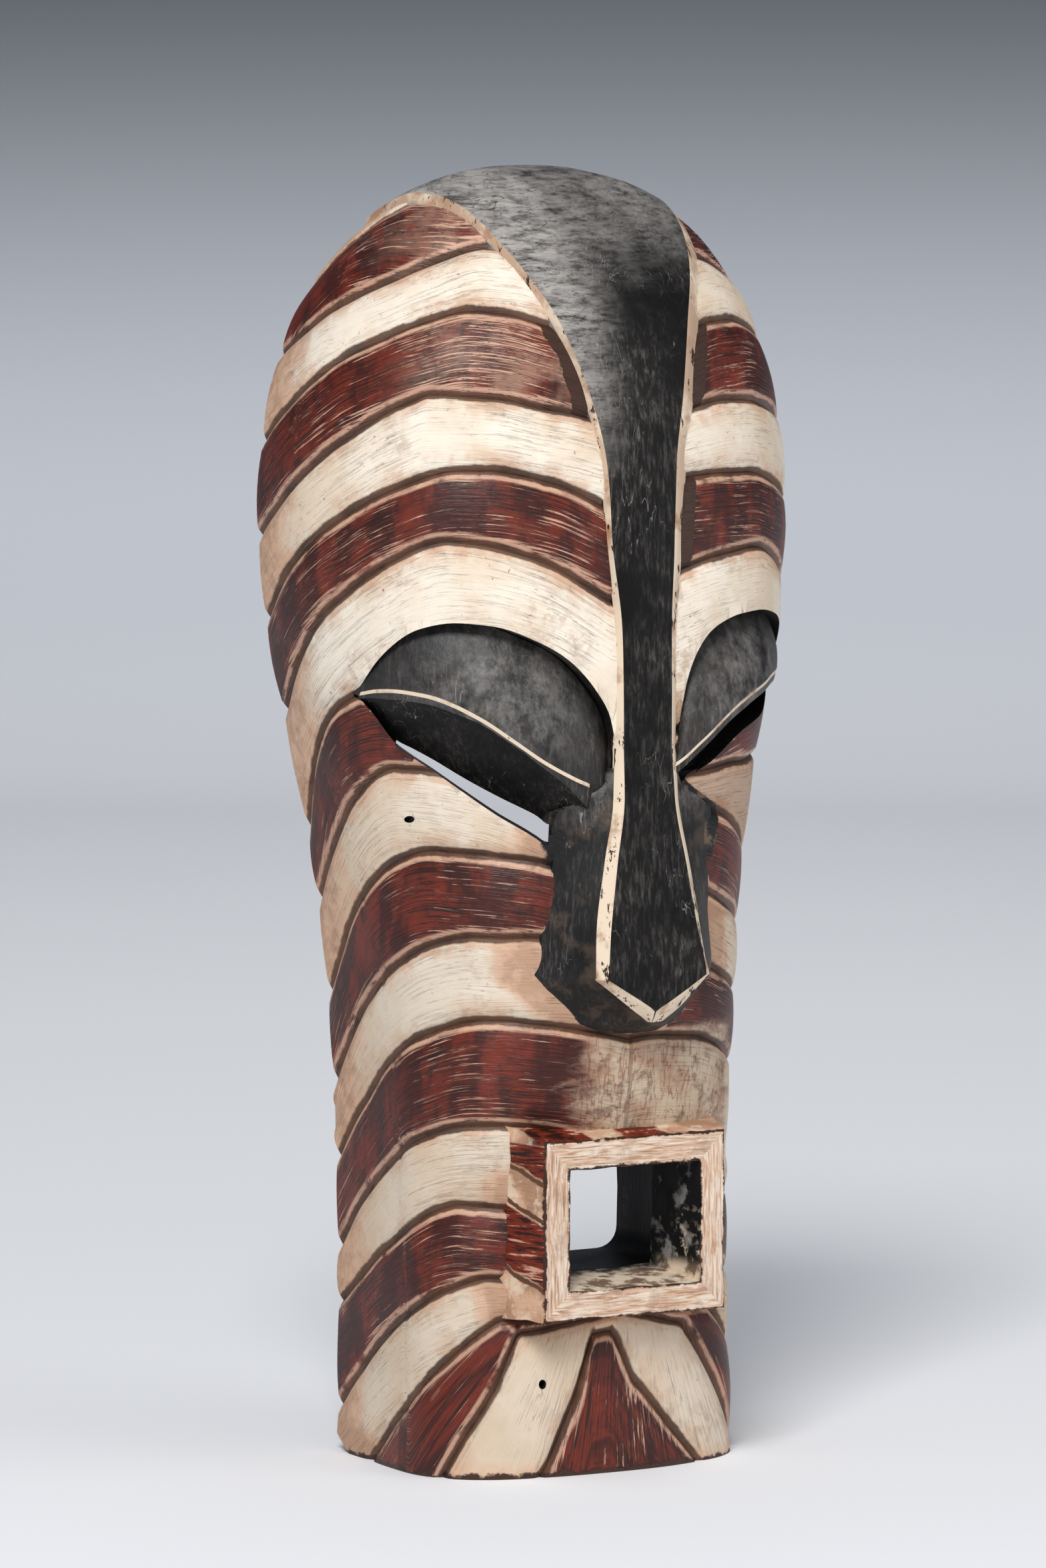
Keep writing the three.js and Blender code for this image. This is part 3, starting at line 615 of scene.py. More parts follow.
@dataclass
class Skin:
    """The banded skin of the head, before the eyes, nose and mouth are cut."""

    head: Head
    columns: int = 176
    tail_columns: int = 10
    ease: tuple[float, ...] = (0.22, 0.5, 0.78, 1.0)
    top_shares: tuple[float, ...] = (0.004, 0.02, 0.05, 0.1, 0.16, 0.24, 0.33, 0.43, 0.54, 0.66, 0.78, 0.88)
    crowning: int = 6
    foot_rows: int = 12
    foot_margin: float = 14.0
    wobble: float = 0.55
    groove_curve: float = 1.15
    ripple: Ripple = Ripple(26.0, 0.5, 3.1)
    far: float = 1e3
    upright_below: float = 66.0
    ray_top: float = 118.0
    ray_near: float = 40.0
    ray_spread: float = 62.0
    band_shift: float = 37.0

    def wander(self, k: int, way: Array) -> Array:
        """Let a groove wander as hand carving does.

        Args:
            k: the groove's number.
            way: shares of the way round.

        Returns:
            Heights to add.
        """
        phase = k * 2.4
        slow = np.sin(way * 9 + phase) + 0.6 * np.sin(way * 21 + 2 * phase)
        return self.wobble * (slow + 0.35 * np.sin(way * 47 + 3 * phase)) / 1.5

    def rows(self) -> list[tuple[Array, Array, int, Array]]:
        """List the rows of the skin from the top down.

        Returns:
            For each row its heights, how far it stands off the skin, the band it lies in, and its
            signed height over the nearest groove.
        """
        head = self.head
        way = np.linspace(-1, 1, self.columns + 1)
        count = head.groove_count
        line = [head.groove_height(k, way) + self.wander(k, way) for k in range(count)]
        deep = [head.groove_depth_at(k, way) for k in range(count)]
        rows: list[tuple[Array, Array, int, Array]] = []
        flat = np.zeros_like(way)
        for share in self.top_shares:
            z = head.skin_top - share * (head.skin_top - line[0])
            rows.append((z, flat, 0, z - line[0]))
        for k in range(count):
            above = (line[k - 1] if k else np.full_like(way, head.skin_top)) - line[k]
            below = line[k] - (line[k + 1] if k < count - 1 else line[k] - 2 * head.groove_width)
            up = head.groove_half(k, way, above)
            down = head.groove_half(k, way, below)
            for share in reversed(self.ease):
                rows.append((line[k] + share * up, -deep[k] * self.profile(share), k, share * up))
            rows.append((line[k], -deep[k], k, flat))
            for share in self.ease:
                rows.append((line[k] - share * down, -deep[k] * self.profile(share), k + 1, -share * down))
            if k == count - 1:
                break
            top = line[k] - down
            bottom = line[k + 1] + head.groove_half(k + 1, way, below)
            for i in range(1, self.crowning):
                t = i / self.crowning
                z = top + (bottom - top) * t
                lift = head.swell * (1 - (2 * t - 1) ** 2)
                near = np.where(line[k] - z < z - line[k + 1], z - line[k], z - line[k + 1])
                rows.append((z, flat + lift, k + 1, near))
        end = head.groove_height(count - 1, way).min() - self.foot_margin
        for i in range(1, self.foot_rows + 1):
            drop = (line[-1] - down - end) * i / self.foot_rows
            rows.append((line[-1] - down - drop, flat, count, -down - drop))
        return rows

    def profile(self, share: float) -> float:
        """Read the groove's depth, a V with an eased bottom, at a share of its half width from its middle."""
        return (1 - share) ** self.groove_curve

    def build(self) -> tuple[bpy.types.Object, dict[str, Array]]:
        """Build the skin.

        Returns:
            The skin, and for each of its vertices on the face its place and what is painted there.
        """
        head = self.head
        rows = self.rows()
        way = np.linspace(-1, 1, self.columns + 1)
        z = np.stack([row[0] for row in rows])
        lift = np.stack([row[1] for row in rows])
        ways = np.broadcast_to(way, z.shape)
        skin = head.skin(ways.ravel(), z.ravel())
        across, up, out = head.frame(ways.ravel(), z.ravel())
        face = (skin + out * lift.reshape(-1, 1)).reshape(*z.shape, 3)
        face = self.ripple.move(face)
        middle = (z[:, 0] + z[:, -1]) / 2
        section = head.section(middle)
        end = head.back_angle(section)
        tails = []
        for j in range(1, self.tail_columns + 1):
            angle = end + (2 * math.pi - 2 * end) * j / (self.tail_columns + 1)
            angle = np.where(angle > math.pi, angle - 2 * math.pi, angle)
            tails.append(head.on_section(section, angle, middle))
        rings = np.concatenate([face, np.stack(tails, axis=1)], axis=1)
        top = head.section(np.array([head.skin_top]))
        tip = np.array([0.0, float(top.middle[0]), head.skin_top])
        solid = Solid.loft("skin", rings, Region.SKIN, start=tip)
        return solid, self.painting(face, ways, z, across, up)

    def painting(self, face: Array, ways: Array, z: Array, across: Array, up: Array) -> dict[str, Array]:
        """Work out what is painted at each vertex of the face.

        Args:
            face: points of the face.
            ways: their shares of the way round.
            z: their heights on the smooth skin.
            across: steps across for a whole way round.
            up: steps up for a millimetre of height.

        Returns:
            Arrays by name: the points, and the vectors the finishes read.
        """
        head = self.head
        girth = np.linalg.norm(across, axis=1).reshape(z.shape)
        stretch = np.linalg.norm(up, axis=1).reshape(z.shape)
        line = [head.groove_height(k, ways[0]) + self.wander(k, ways[0]) for k in range(head.groove_count)]
        best = np.full(z.shape, self.far)
        above = np.zeros(z.shape)
        top = np.full(z.shape, head.skin_top)
        for k, level in enumerate(line):
            only = head.grooves[k].only if k < len(head.grooves) else 0
            here = {0: level < math.inf, 1: ways[0] > 0, -1: ways[0] <= 0}[only]
            slope = np.gradient(level, ways[0])[None] / girth
            gap = (z - level[None]) * stretch / np.hypot(1, slope * stretch)
            gap = np.where(here[None], gap, np.where(gap > 0, self.far, -self.far))
            best = np.where(np.abs(gap) < np.abs(best), gap, best)
            crossed = here[None] & (z < level[None] - 1e-6)
            above += crossed
            top = np.where(crossed, np.broadcast_to(level[None], z.shape), top)
        distance = np.abs(best)
        odd = above % 2
        red = np.where(odd > 0.5, distance, -distance)
        side = np.sign(best) * np.clip(1.5 - distance / head.groove_width, 0, 1)
        run = ways * girth
        deep = (top - z) * stretch
        upright = (above >= len(head.grooves) - 1) & (z < self.upright_below)
        spread = self.ray_spread * run / np.clip(self.ray_top - z, self.ray_near, None)
        side = np.where(upright, 0.0, side)
        along, over = np.where(upright, deep, run), np.where(upright, spread, deep)
        band = np.stack([along, over, above * self.band_shift], axis=-1)
        paint = np.stack([red, distance, side], axis=-1)
        wear = Wear(head).amounts(face, ways, z, above, run)
        return {"points": face, "band": band, "paint": paint, "wear": wear[0], "stain_and_sheen": wear[1]}


@dataclass
class Wear:
    """Where the paint is worn or differs from its band, and where sheen and shade are painted on it, in
    millimetres and shares of the way round.
    """

    head: Head
    bare_reach: Span = (2.0, 9.0)
    bare_from: float = 330.0
    bare_bands: tuple[int, int] = (3, 5)
    bare_right: float = 1.2
    nose_low: float = 178.0
    nose_high: float = 270.0
    nose_reach: Span = (3.0, 24.0)
    rim_shade_rise: Span = (0.62, 0.96)
    rim_shade_strength: float = 0.8
    foot_fall: Span = (2.0, 15.0)
    foot_strength: float = 0.6
    box_rise: Span = (54.0, 66.0)
    box_fall: Span = (116.0, 134.0)
    box_side: float = 44.0
    box_reach: Span = (2.0, 24.0)
    rubbed_rise: Span = (122.0, 134.0)
    rubbed_fall: Span = (174.0, 184.0)
    rubbed_left: Span = (-46.0, 2.0)
    rubbed_right: Span = (44.0, 84.0)
    soot_rise: Span = (228.0, 262.0)
    soot_fall: Span = (274.0, 288.0)
    soot_reach: Span = (0.5, 8.0)
    brown_rise: Span = (214.0, 226.0)
    brown_fall: Span = (304.0, 320.0)
    brown_rim: Span = (0.75, 1.0)
    sheen_rise: Span = (14.0, 36.0)
    sheen_fall: Span = (50.0, 110.0)
    sheen_from: Span = (390.0, 430.0)

    def off_nose(self, x: Array, z: Array) -> Array:
        """Find how far points at places across and heights stand off the nose's wings."""
        wings = [(row[0], row[1]) for row in reversed(Nose(self.head).rows)]
        return np.abs(x) - smooth_at(wings, z / self.head.height)

    def bare(self, x: Array, z: Array, above: Array) -> Array:
        """Find where the wood is bare, beside the crest in two of the red bands.

        Args:
            x: places across.
            z: heights.
            above: number of grooves above each point.

        Returns:
            Shares from 0 to 1.
        """
        half, left, right = Crest(self.head).sizes(z)
        near = 1 - step(*self.bare_reach, np.where(x < 0, -x - half - left, x - half - right))
        upper, lower = (above == band for band in self.bare_bands)
        amount = near * (upper & (x < 0)) + self.bare_right * near * (upper & (x > 0))
        amount = amount + near * (lower & (x > 0))
        return np.clip(amount, 0, 1) * (z > self.bare_from)

    def peach(self, x: Array, z: Array, ways: Array) -> Array:
        """Find where the peach undercoat shows: beside the nose and the mouth, at the rim and the foot; at
        the rim it is also painted shade that darkens the sides towards the back edges.

        Args:
            x: places across.
            z: heights.
            ways: shares of the way round.

        Returns:
            Shares from 0 to 1.
        """
        beside = (z > self.nose_low) & (z < self.nose_high)
        amount = np.where(beside, 1 - step(*self.nose_reach, self.off_nose(x, z)), 0.0)
        # painted shade with the undercoat: peach darkens the sides towards the back edges
        amount = amount + self.rim_shade_strength * step(*self.rim_shade_rise, np.abs(ways))
        amount = amount + self.foot_strength * (1 - step(*self.foot_fall, z))
        box = (x < 0) * between(z, self.box_rise, self.box_fall)
        return np.clip(np.maximum(amount, box * (1 - step(*self.box_reach, -x - self.box_side))), 0, 1)

    def amounts(self, face: Array, ways: Array, z: Array, above: Array, run: Array) -> tuple[Array, Array]:
        """Work out the wear, the stains and the painted sheen at each vertex.

        Args:
            face: points of the face.
            ways: shares of the way round.
            z: heights.
            above: number of grooves above each point.
            run: distances round from the middle of the face.

        Returns:
            Amounts of bare dark wood, peach undercoat with painted shade at the rim, and rubbed paint; and of
            soot, brown staining and a painted pink sheen on the forehead's upper left.
        """
        x = face[..., 0]
        rubbed = between(z, self.rubbed_rise, self.rubbed_fall)
        rubbed = rubbed * between(run, self.rubbed_left, self.rubbed_right)
        soot = between(z, self.soot_rise, self.soot_fall) * (1 - step(*self.soot_reach, self.off_nose(x, z)))
        brown = (x > 0) * between(z, self.brown_rise, self.brown_fall)
        brown = brown * (1 - step(*self.brown_rim, np.abs(ways)))
        # painted sheen: a pale pink sheen on the red bands of the forehead's upper left
        painted_sheen = between(-run, self.sheen_rise, self.sheen_fall) * step(*self.sheen_from, z)
        wear = np.stack([self.bare(x, z, above), self.peach(x, z, ways), rubbed], axis=-1)
        return wear, np.stack([soot, brown, painted_sheen], axis=-1)


@dataclass
class Crest:
    """The black crest with its cream bevels, from the tip of the nose over the head; sizes in millimetres."""

    head: Head
    root: float = 9.0
    seat: float = 0.3
    back_half: float = 55.0
    bevel_curve: float = 0.8
    # Level, half width of the flat front, left bevel, right bevel.
    rows: tuple[tuple[float, float, float, float], ...] = (
        (0.352, 0.1, 0.1, 7), (0.3615, 0.4, 8, 12), (0.387, 22.5, 4, 3.5), (0.402, 21.6, 4.5, 2.5),
        (0.438, 18.6, 5.5, 3.5), (0.475, 15.7, 4.2, 3.5), (0.524, 11.5, 3.8, 3.6), (0.58, 10.8, 2.5, 4),
        (0.652, 11.4, 1.5, 5), (0.712, 14.1, 1.2, 5.5), (0.773, 15.9, 1.2, 7), (0.827, 21.2, 1.2, 7.8),
        (0.881, 29.3, 1.2, 8), (0.923, 38, 1.2, 8), (0.973, 46.7, 1.5, 8), (1, 51, 2, 6),
    )
    flat_columns: int = 22
    bevel_columns: int = 3
    tip_rows: int = 13
    nose_rows: int = 34
    climb_rows: int = 90
    descent_rows: int = 24
    halvings: int = 36
    ripple: Ripple = Ripple(30.0, 0.4, 8.3)

    def sizes(self, z: Array, straight: bool = False) -> tuple[Array, Array, Array]:
        """Read the crest's sizes.

        Args:
            z: heights.
            straight: follow straight edges between the rows, as at the tip.

        Returns:
            Half widths of the flat front, and widths of the left and right bevels.
        """
        follow = straight_at if straight else smooth_at
        levels = np.asarray(z) / self.head.height
        return tuple(follow([(r[0], r[k]) for r in self.rows], levels) for k in (1, 2, 3))

    def path(self) -> list[tuple[Array, Array, Array, bool]]:
        """Lay the crest's rows along the middle of the head, from the nose's tip to the back.

        Returns:
            For each row its middle point, its outward direction, its sizes, and whether it follows the skin.
        """
        head = self.head
        nose = Nose(head)
        bridge = nose.rows[0][0] * head.height
        path: list[tuple[Array, Array, Array, bool]] = []
        forward = np.array([0.0, -1.0, 0.0])
        corner = self.rows[2][0] * head.height
        tip = np.linspace(self.rows[0][0] * head.height, corner, self.tip_rows)
        rise = np.linspace(corner, bridge, self.nose_rows)[1:-1]
        for z, straight in [(z, True) for z in tip] + [(z, False) for z in rise]:
            sizes = np.array([float(v) for v in self.sizes(z, straight)])
            path.append((np.array([0.0, nose.front(z), z]), forward, sizes, False))
        for k in range(self.climb_rows + 1):
            share = math.sin(k / self.climb_rows * math.pi / 2)
            z = bridge + (head.skin_top - head.groove_width / 4 - bridge) * share
            here, below = (head.section(np.array([v])) for v in (z, z - head.height_step))
            y = float((here.middle - here.reach)[0])
            slope = (y - float((below.middle - below.reach)[0])) / head.height_step
            out = np.array([0.0, -1.0, slope])
            sizes = np.array([float(v) for v in self.sizes(z)])
            path.append((np.array([0.0, y, z]), out / np.linalg.norm(out), sizes, True))
        start = float(head.section(np.array([head.skin_top])).middle[0])
        top = np.array([float(v) for v in self.sizes(head.height)])
        for k in range(self.descent_rows + 1):
            share = k / self.descent_rows
            y = start + (head.back + self.root - start) * share
            out = np.array([0.0, share / 2, 1.0])
            sizes = np.array([top[0] + (self.back_half - top[0]) * share, top[1], top[2]])
            path.append((np.array([0.0, y, head.skin_top]), out / np.linalg.norm(out), sizes, True))
        return path

    def drop(self, start: Array, inward: Array) -> Array:
        """Find the skin under points, looking in along a direction.

        Args:
            start: points off the skin.
            inward: one direction for each point.

        Returns:
            Points on the skin.
        """
        head = self.head
        low = np.full(len(start), -2 * head.crest_rise)
        high = np.full(len(start), head.width / 2)
        for _ in range(self.halvings):
            mid = (low + high) / 2
            place = start + inward * mid[:, None]
            section = head.section(np.minimum(place[:, 2], head.skin_top - 1e-3))
            y = place[:, 1] - section.middle
            power = np.where(y < 0, section.square, 2.0)
            spread = np.where(y < 0, section.reach, section.tail)
            value = (np.abs(place[:, 0]) / section.half) ** power + (np.abs(y) / spread) ** power
            inside = (value < 1) & (place[:, 2] < head.skin_top)
            high = np.where(inside, mid, high)
            low = np.where(inside, low, mid)
        return start + inward * high[:, None]

    def build(self) -> bpy.types.Object:
        """Build the crest.

        Returns:
            The crest.
        """
        path = self.path()
        bevel = np.linspace(0, 1, self.bevel_columns + 1)
        flat = np.linspace(-1, 1, self.flat_columns + 1)
        starts, outs, lifts, follow = [], [], [], []
        for middle, out, (half, left, right), on_skin in path:
            xs = np.concatenate([-half - left * (1 - bevel[:-1]), flat * half, half + right * bevel[1:]])
            rise = np.concatenate([bevel[:-1], np.ones(len(flat)), 1 - bevel[1:]])
            lift = -self.seat + (self.head.crest_rise + self.seat) * rise**self.bevel_curve
            xs = np.concatenate([xs, [half + right, -half - left]])
            lift = np.concatenate([lift, [-self.root, -self.root]])
            starts.append(np.stack([xs, np.full_like(xs, middle[1]), np.full_like(xs, middle[2])], axis=1))
            outs.append(np.broadcast_to(out, (len(xs), 3)))
            lifts.append(lift)
            follow.append(np.full(len(xs), on_skin))
        start, out = np.stack(starts), np.stack(outs)
        dropped = self.drop(start.reshape(-1, 3), -out.reshape(-1, 3)).reshape(start.shape)
        foot = np.where(np.stack(follow)[..., None], dropped, start)
        rings = foot + out * np.stack(lifts)[..., None]
        rings = self.ripple.move(rings)[::-1]
        side, flats = self.bevel_columns, self.flat_columns
        columns = [Region.BEVEL] * side + [Region.CREST] * flats + [Region.BEVEL] * side + [Region.CREST] * 3
        return Solid.loft("crest", rings, columns, caps=(Region.CUT, Region.BEVEL))


@dataclass
class Nose:
    """The black body of the nose, under the crest; sizes in millimetres."""

    head: Head
    root: float = 9.0
    swell: float = 1.2
    straight_below: float = 0.3875
    # Level, half width at the face, and how far the front stands, as a share of the depth.
    rows: tuple[tuple[float, float, float], ...] = (
        (0.56, 11, 0.92), (0.532, 18, 0.926), (0.521, 27, 0.928), (0.512, 35.5, 0.93), (0.5, 37, 0.933),
        (0.475, 35.5, 0.94), (0.431, 37.4, 0.955), (0.388, 41.2, 0.975), (0.369, 33, 0.972),
        (0.3492, 22, 0.935), (0.342, 12, 0.86),
    )
    steps: int = 5
    facets: int = 8
    ripple: Ripple = Ripple(22.0, 0.5, 5.2)

    def front(self, z: float) -> float:
        """Find the depth y of the nose's front, under the crest, at a height."""
        table = [(r[0], r[2]) for r in self.rows][::-1]
        return float(self.head.back - self.head.depth * smooth_at(table, np.array(z / self.head.height)))

    def build(self) -> bpy.types.Object:
        """Build the nose.

        Returns:
            The nose.
        """
        head = self.head
        crest = Crest(head)
        levels = [row[0] for row in self.rows]
        fine = [a + (b - a) * i / self.steps for a, b in zip(levels, levels[1:]) for i in range(self.steps)]
        fine.append(levels[-1])
        wings = [(row[0], row[1]) for row in self.rows][::-1]
        rings = []
        for level in fine:
            z = level * head.height
            wing = float(straight_at(wings, level))
            half, left, right = (float(v) for v in crest.sizes(z, straight=level < self.straight_below))
            root = float(head.front(np.array([wing]), np.array([z]))[0])
            front = min(self.front(z), root)
            crest_left, crest_right = -half - left, half + right
            flanks = []
            for x in ((crest_left - wing) / 2, (crest_right + wing) / 2):
                face = float(head.front(np.array([x]), np.array([z]))[0])
                flanks.append((x, min((root + front) / 2, face - self.swell)))
            corners = [
                (-wing, root + self.root), (-wing, root), flanks[0], (crest_left, front),
                (crest_right, front), flanks[1], (wing, root), (wing, root + self.root),
            ]
            ring = []
            for (x0, y0), (x1, y1) in zip(corners, corners[1:] + corners[:1]):
                for i in range(self.facets):
                    t = i / self.facets
                    ring.append((x0 + (x1 - x0) * t, y0 + (y1 - y0) * t, z))
            rings.append(ring)
        return Solid.loft("nose", self.ripple.move(np.array(rings)), Region.NOSE)


@dataclass
class Mouth:
    """The square mouth that juts out of the chin, and the tunnel through it; sizes in millimetres."""

    head: Head
    width: float = 83.0
    height: float = 71.5
    sill: float = 65.0
    setback: float = 17.0
    lip: float = 11.5
    flare: float = 0.22
    root: float = 34.0
    taper: float = 0.1
    steps: int = 18
    box_rings: int = 14
    tunnel_rings: int = 20
    edge_wear: float = 0.6
    edge_length: float = 0.7
    box_ripple: Ripple = Ripple(9.0, 0.9, 1.4)
    tunnel_ripple: Ripple = Ripple(9.0, 0.8, 6.4)

    def ring(self, half: float, low: float, high: float, y: float) -> Array:
        """Walk round an upright rectangle.

        Args:
            half: its half width.
            low: its foot.
            high: its top.
            y: its depth.

        Returns:
            Points, turning left as seen from the front.
        """
        corners = [(-half, low), (half, low), (half, high), (-half, high)]
        points = []
        for (x0, z0), (x1, z1) in zip(corners, corners[1:] + corners[:1]):
            for i in range(self.steps):
                t = i / self.steps
                points.append((x0 + (x1 - x0) * t, y, z0 + (z1 - z0) * t))
        return np.array(points)

    def box(self) -> bpy.types.Object:
        """Build the box around the mouth.

        Returns:
            The box.
        """
        front = -self.head.depth / 2 + self.setback
        top = self.sill + self.height
        rings = []
        for share in np.linspace(0, 1, self.box_rings):
            spread = self.flare * self.root * share
            half = self.width / 2 + spread
            worn = self.edge_wear if share == 0 else 0.0
            depth = front + self.root * share
            rings.append(self.ring(half - worn, self.sill + worn, top + spread - worn, depth))
        rings.insert(1, self.ring(self.width / 2, self.sill, top, front + self.edge_length))
        rings = self.box_ripple.move(np.array(rings))
        return Solid.loft("mouth", rings, Region.MOUTH_SIDE, caps=(Region.MOUTH_FRONT, Region.CUT))

    def tunnel(self) -> bpy.types.Object:
        """Build the cutter for the mouth's opening.

        Returns:
            The cutter.
        """
        front = -self.head.depth / 2 + self.setback
        top = self.sill + self.height
        rings = []
        for depth in np.linspace(-self.setback, self.head.depth / 2, self.tunnel_rings):
            inset = self.lip + self.taper * depth
            rings.append(self.ring(self.width / 2 - inset, self.sill + inset, top - inset, front + depth))
        return Solid.loft("tunnel", self.tunnel_ripple.move(np.array(rings)), Region.TUNNEL)


@dataclass(frozen=True)
class EyeRow:
    """One row of an eye, from its outer to its inner corner.

    Arc, ridge and slit are places on the face, as a share of the half width and a level. Edge and opening
    are heights in millimetres.
    """

    arc: Span
    ridge: Span
    edge: float
    slit: Span
    opening: float


LEFT_EYE = (
    EyeRow((0.862, 0.6), (0.858, 0.6015), 2.5, (0.848, 0.5945), 0),
    EyeRow((0.848, 0.621), (0.835, 0.604), 3.5, (0.822, 0.584), 0),
    EyeRow((0.815, 0.6385), (0.8, 0.6046), 4.2, (0.77, 0.564), 1.2),
    EyeRow((0.755, 0.651), (0.735, 0.602), 3.8, (0.735, 0.558), 2.3),
    EyeRow((0.66, 0.656), (0.66, 0.594), 3.3, (0.686, 0.55), 3.2),
    EyeRow((0.543, 0.6535), (0.58, 0.583), 2.3, (0.6, 0.5355), 4.5),
    EyeRow((0.412, 0.643), (0.49, 0.5677), 2.2, (0.504, 0.522), 6.4),
    EyeRow((0.298, 0.6285), (0.4, 0.5532), 3, (0.397, 0.5092), 7.8),
    EyeRow((0.203, 0.607), (0.325, 0.5437), 4.8, (0.347, 0.5024), 7.7),
    EyeRow((0.14, 0.583), (0.28, 0.539), 7, (0.29, 0.5035), 0),
    EyeRow((0.118, 0.555), (0.25, 0.5365), 8.8, (0.25, 0.5085), 0),
    EyeRow((0.122, 0.53), (0.225, 0.5345), 10, (0.215, 0.513), 0),
)
RIGHT_EYE = (
    EyeRow((0.862, 0.61), (0.86, 0.6105), 2, (0.853, 0.603), 0),
    EyeRow((0.845, 0.63), (0.84, 0.6125), 3.5, (0.825, 0.598), 0),
    EyeRow((0.8, 0.647), (0.79, 0.613), 4.4, (0.77, 0.5925), 2.5),
    EyeRow((0.717, 0.6557), (0.7, 0.6102), 4.4, (0.69, 0.585), 3.5),
    EyeRow((0.6, 0.6594), (0.6, 0.6043), 4.4, (0.6, 0.5805), 3.5),
    EyeRow((0.47, 0.6577), (0.49, 0.5965), 4.4, (0.51, 0.5755), 3.5),
    EyeRow((0.372, 0.6527), (0.4, 0.5888), 4.4, (0.42, 0.5665), 3.5),
    EyeRow((0.3, 0.6453), (0.33, 0.58), 4.4, (0.34, 0.556), 3.5),
    EyeRow((0.235, 0.631), (0.26, 0.5695), 4.4, (0.265, 0.5452), 3.5),
    EyeRow((0.187, 0.6105), (0.2, 0.5605), 4.4, (0.205, 0.5368), 0),
    EyeRow((0.158, 0.583), (0.155, 0.553), 4.4, (0.165, 0.531), 0),
    EyeRow((0.145, 0.56), (0.125, 0.548), 4.4, (0.135, 0.5265), 0),
)


@dataclass
class Eye:
    """One eye: the socket, the lid with its ridge, and the slit; sizes in millimetres.

    Side is -1 on the left and 1 on the right.
    """

    head: Head
    rows: tuple[EyeRow, ...]
    side: int
    rise: float = 7.0
    edge_setback: float = 1.0
    line: float = 1.5
    socket: float = 9.0
    margin: float = 3.0
    under: float = 10.0
    bite: float = 0.3
    root: float = 14.0
    slant: float = math.pi / 6
    lean: float = 0.16
    reach: float = 120.0
    fine: int = 5
    prism_rings: int = 9
    end_shift: float = 0.35
    fullness: float = 0.6
    bulge: float = 3.0
    bulge_steps: int = 9
    leaf_hollow: float = 1.2
    leaf_steps: int = 6
    line_limit: float = 0.7
    ripple: Ripple = Ripple(14.0, 0.35, 2.2)

    def places(self, first: int = 0, last: Optional[int] = None) -> Array:
        """List row numbers with fractions from the first row to the last, closer together than the rows."""
        end = len(self.rows) - 1 if last is None else last
        return np.linspace(first, end, (end - first) * self.fine + 1)

    def along(self, name: str, places: Array) -> Array:
        """Read an outline or a size between the rows.

        Args:
            name: its name in the rows.
            places: row numbers with fractions.

        Returns:
            The values there.
        """
        table = np.array([getattr(row, name) for row in self.rows], float)
        if table.ndim == 1:
            return smooth_at(list(enumerate(table)), places)
        return np.stack([smooth_at(list(enumerate(column)), places) for column in table.T], axis=-1)

    def on_face(self, outline: Array, lower: float | Array = 0.0) -> Array:
        """Put an outline on the face.

        Args:
            outline: places across as shares of the half width, and levels.
            lower: how far it is moved down.

        Returns:
            Points.
        """
        x = outline[:, 0] * self.head.width / 2
        z = outline[:, 1] * self.head.height - lower
        return np.stack([self.side * x, self.head.front(x, z), z], axis=1)

    def prism(
        self, outline: Array, direction: Array, before: float, after: float, region: Region
    ) -> bpy.types.Object:
        """Build a cutter along a direction, from before an outline on the face to after it."""
        rings = np.stack([outline + direction * d for d in np.linspace(-before, after, self.prism_rings)])
        return Solid.loft("cutter", rings if self.side > 0 else rings[:, ::-1], region)

    @property
    def slit_direction(self) -> Array:
        """Direction the slit is cut in, towards the middle of the hollow."""
        return np.array([-self.side * math.sin(self.slant), math.cos(self.slant), 0.0])

    def pocket(self) -> bpy.types.Object:
        """Build the cutter for the whole eye.

        Returns:
            The cutter.
        """
        places = self.places()
        foot = self.on_face(self.along("slit", places), self.along("opening", places) / 2)
        outline = np.concatenate([self.on_face(self.along("arc", places)), foot[::-1]])
        inward = np.array([-self.side * self.lean, 1.0, 0.0])
        inward /= np.linalg.norm(inward)
        return self.prism(outline, inward, self.reach, self.socket + self.margin, Region.EYE)

    def lid(self) -> bpy.types.Object:
        """Build the lid.

        Returns:
            The lid.
        """
        places = self.places()
        arch = np.sin(math.pi * (places + self.end_shift) / len(self.rows))
        full = (arch**self.fullness)[:, None]
        arc = self.on_face(self.along("arc", places))
        crest = self.along("ridge", places)
        back = np.array([0.0, 1.0, 0.0])
        ridge = self.on_face(crest) - back * self.rise * full
        edge = self.along("edge", places)
        lower = self.on_face(crest, edge) - back * (self.rise - self.edge_setback) * full
        foot = self.on_face(self.along("slit", places)) + self.slit_direction * self.under * full
        floor = arc + back * self.socket * full
        rings = [ridge]
        for i in range(1, self.bulge_steps):
            t = i / self.bulge_steps
            rings.append(ridge + (floor - ridge) * t - back * self.bulge * math.sin(math.pi * t) * full)
        rings += [floor, floor + np.array([0, self.root, 1.0]), foot + self.slit_direction * self.root, foot]
        for i in range(1, self.leaf_steps):
            t = i / self.leaf_steps
            rings.append(foot + (lower - foot) * t + back * self.leaf_hollow * math.sin(math.pi * t) * full)
        high = ridge + (lower - ridge) * np.clip(self.line / edge, 0, self.line_limit)[:, None]
        rings += [lower, high]
        stack = np.stack(rings, axis=1)
        columns = [Region.EYE] * (self.bulge_steps + 3) + [Region.LEAF] * self.leaf_steps + [Region.EYE]
        if self.side > 0:
            stack = stack[:, ::-1]
            columns.reverse()
        columns.append(Region.LID_EDGE)
        return Solid.loft("lid", self.ripple.move(stack), columns, caps=(Region.EYE, Region.EYE))

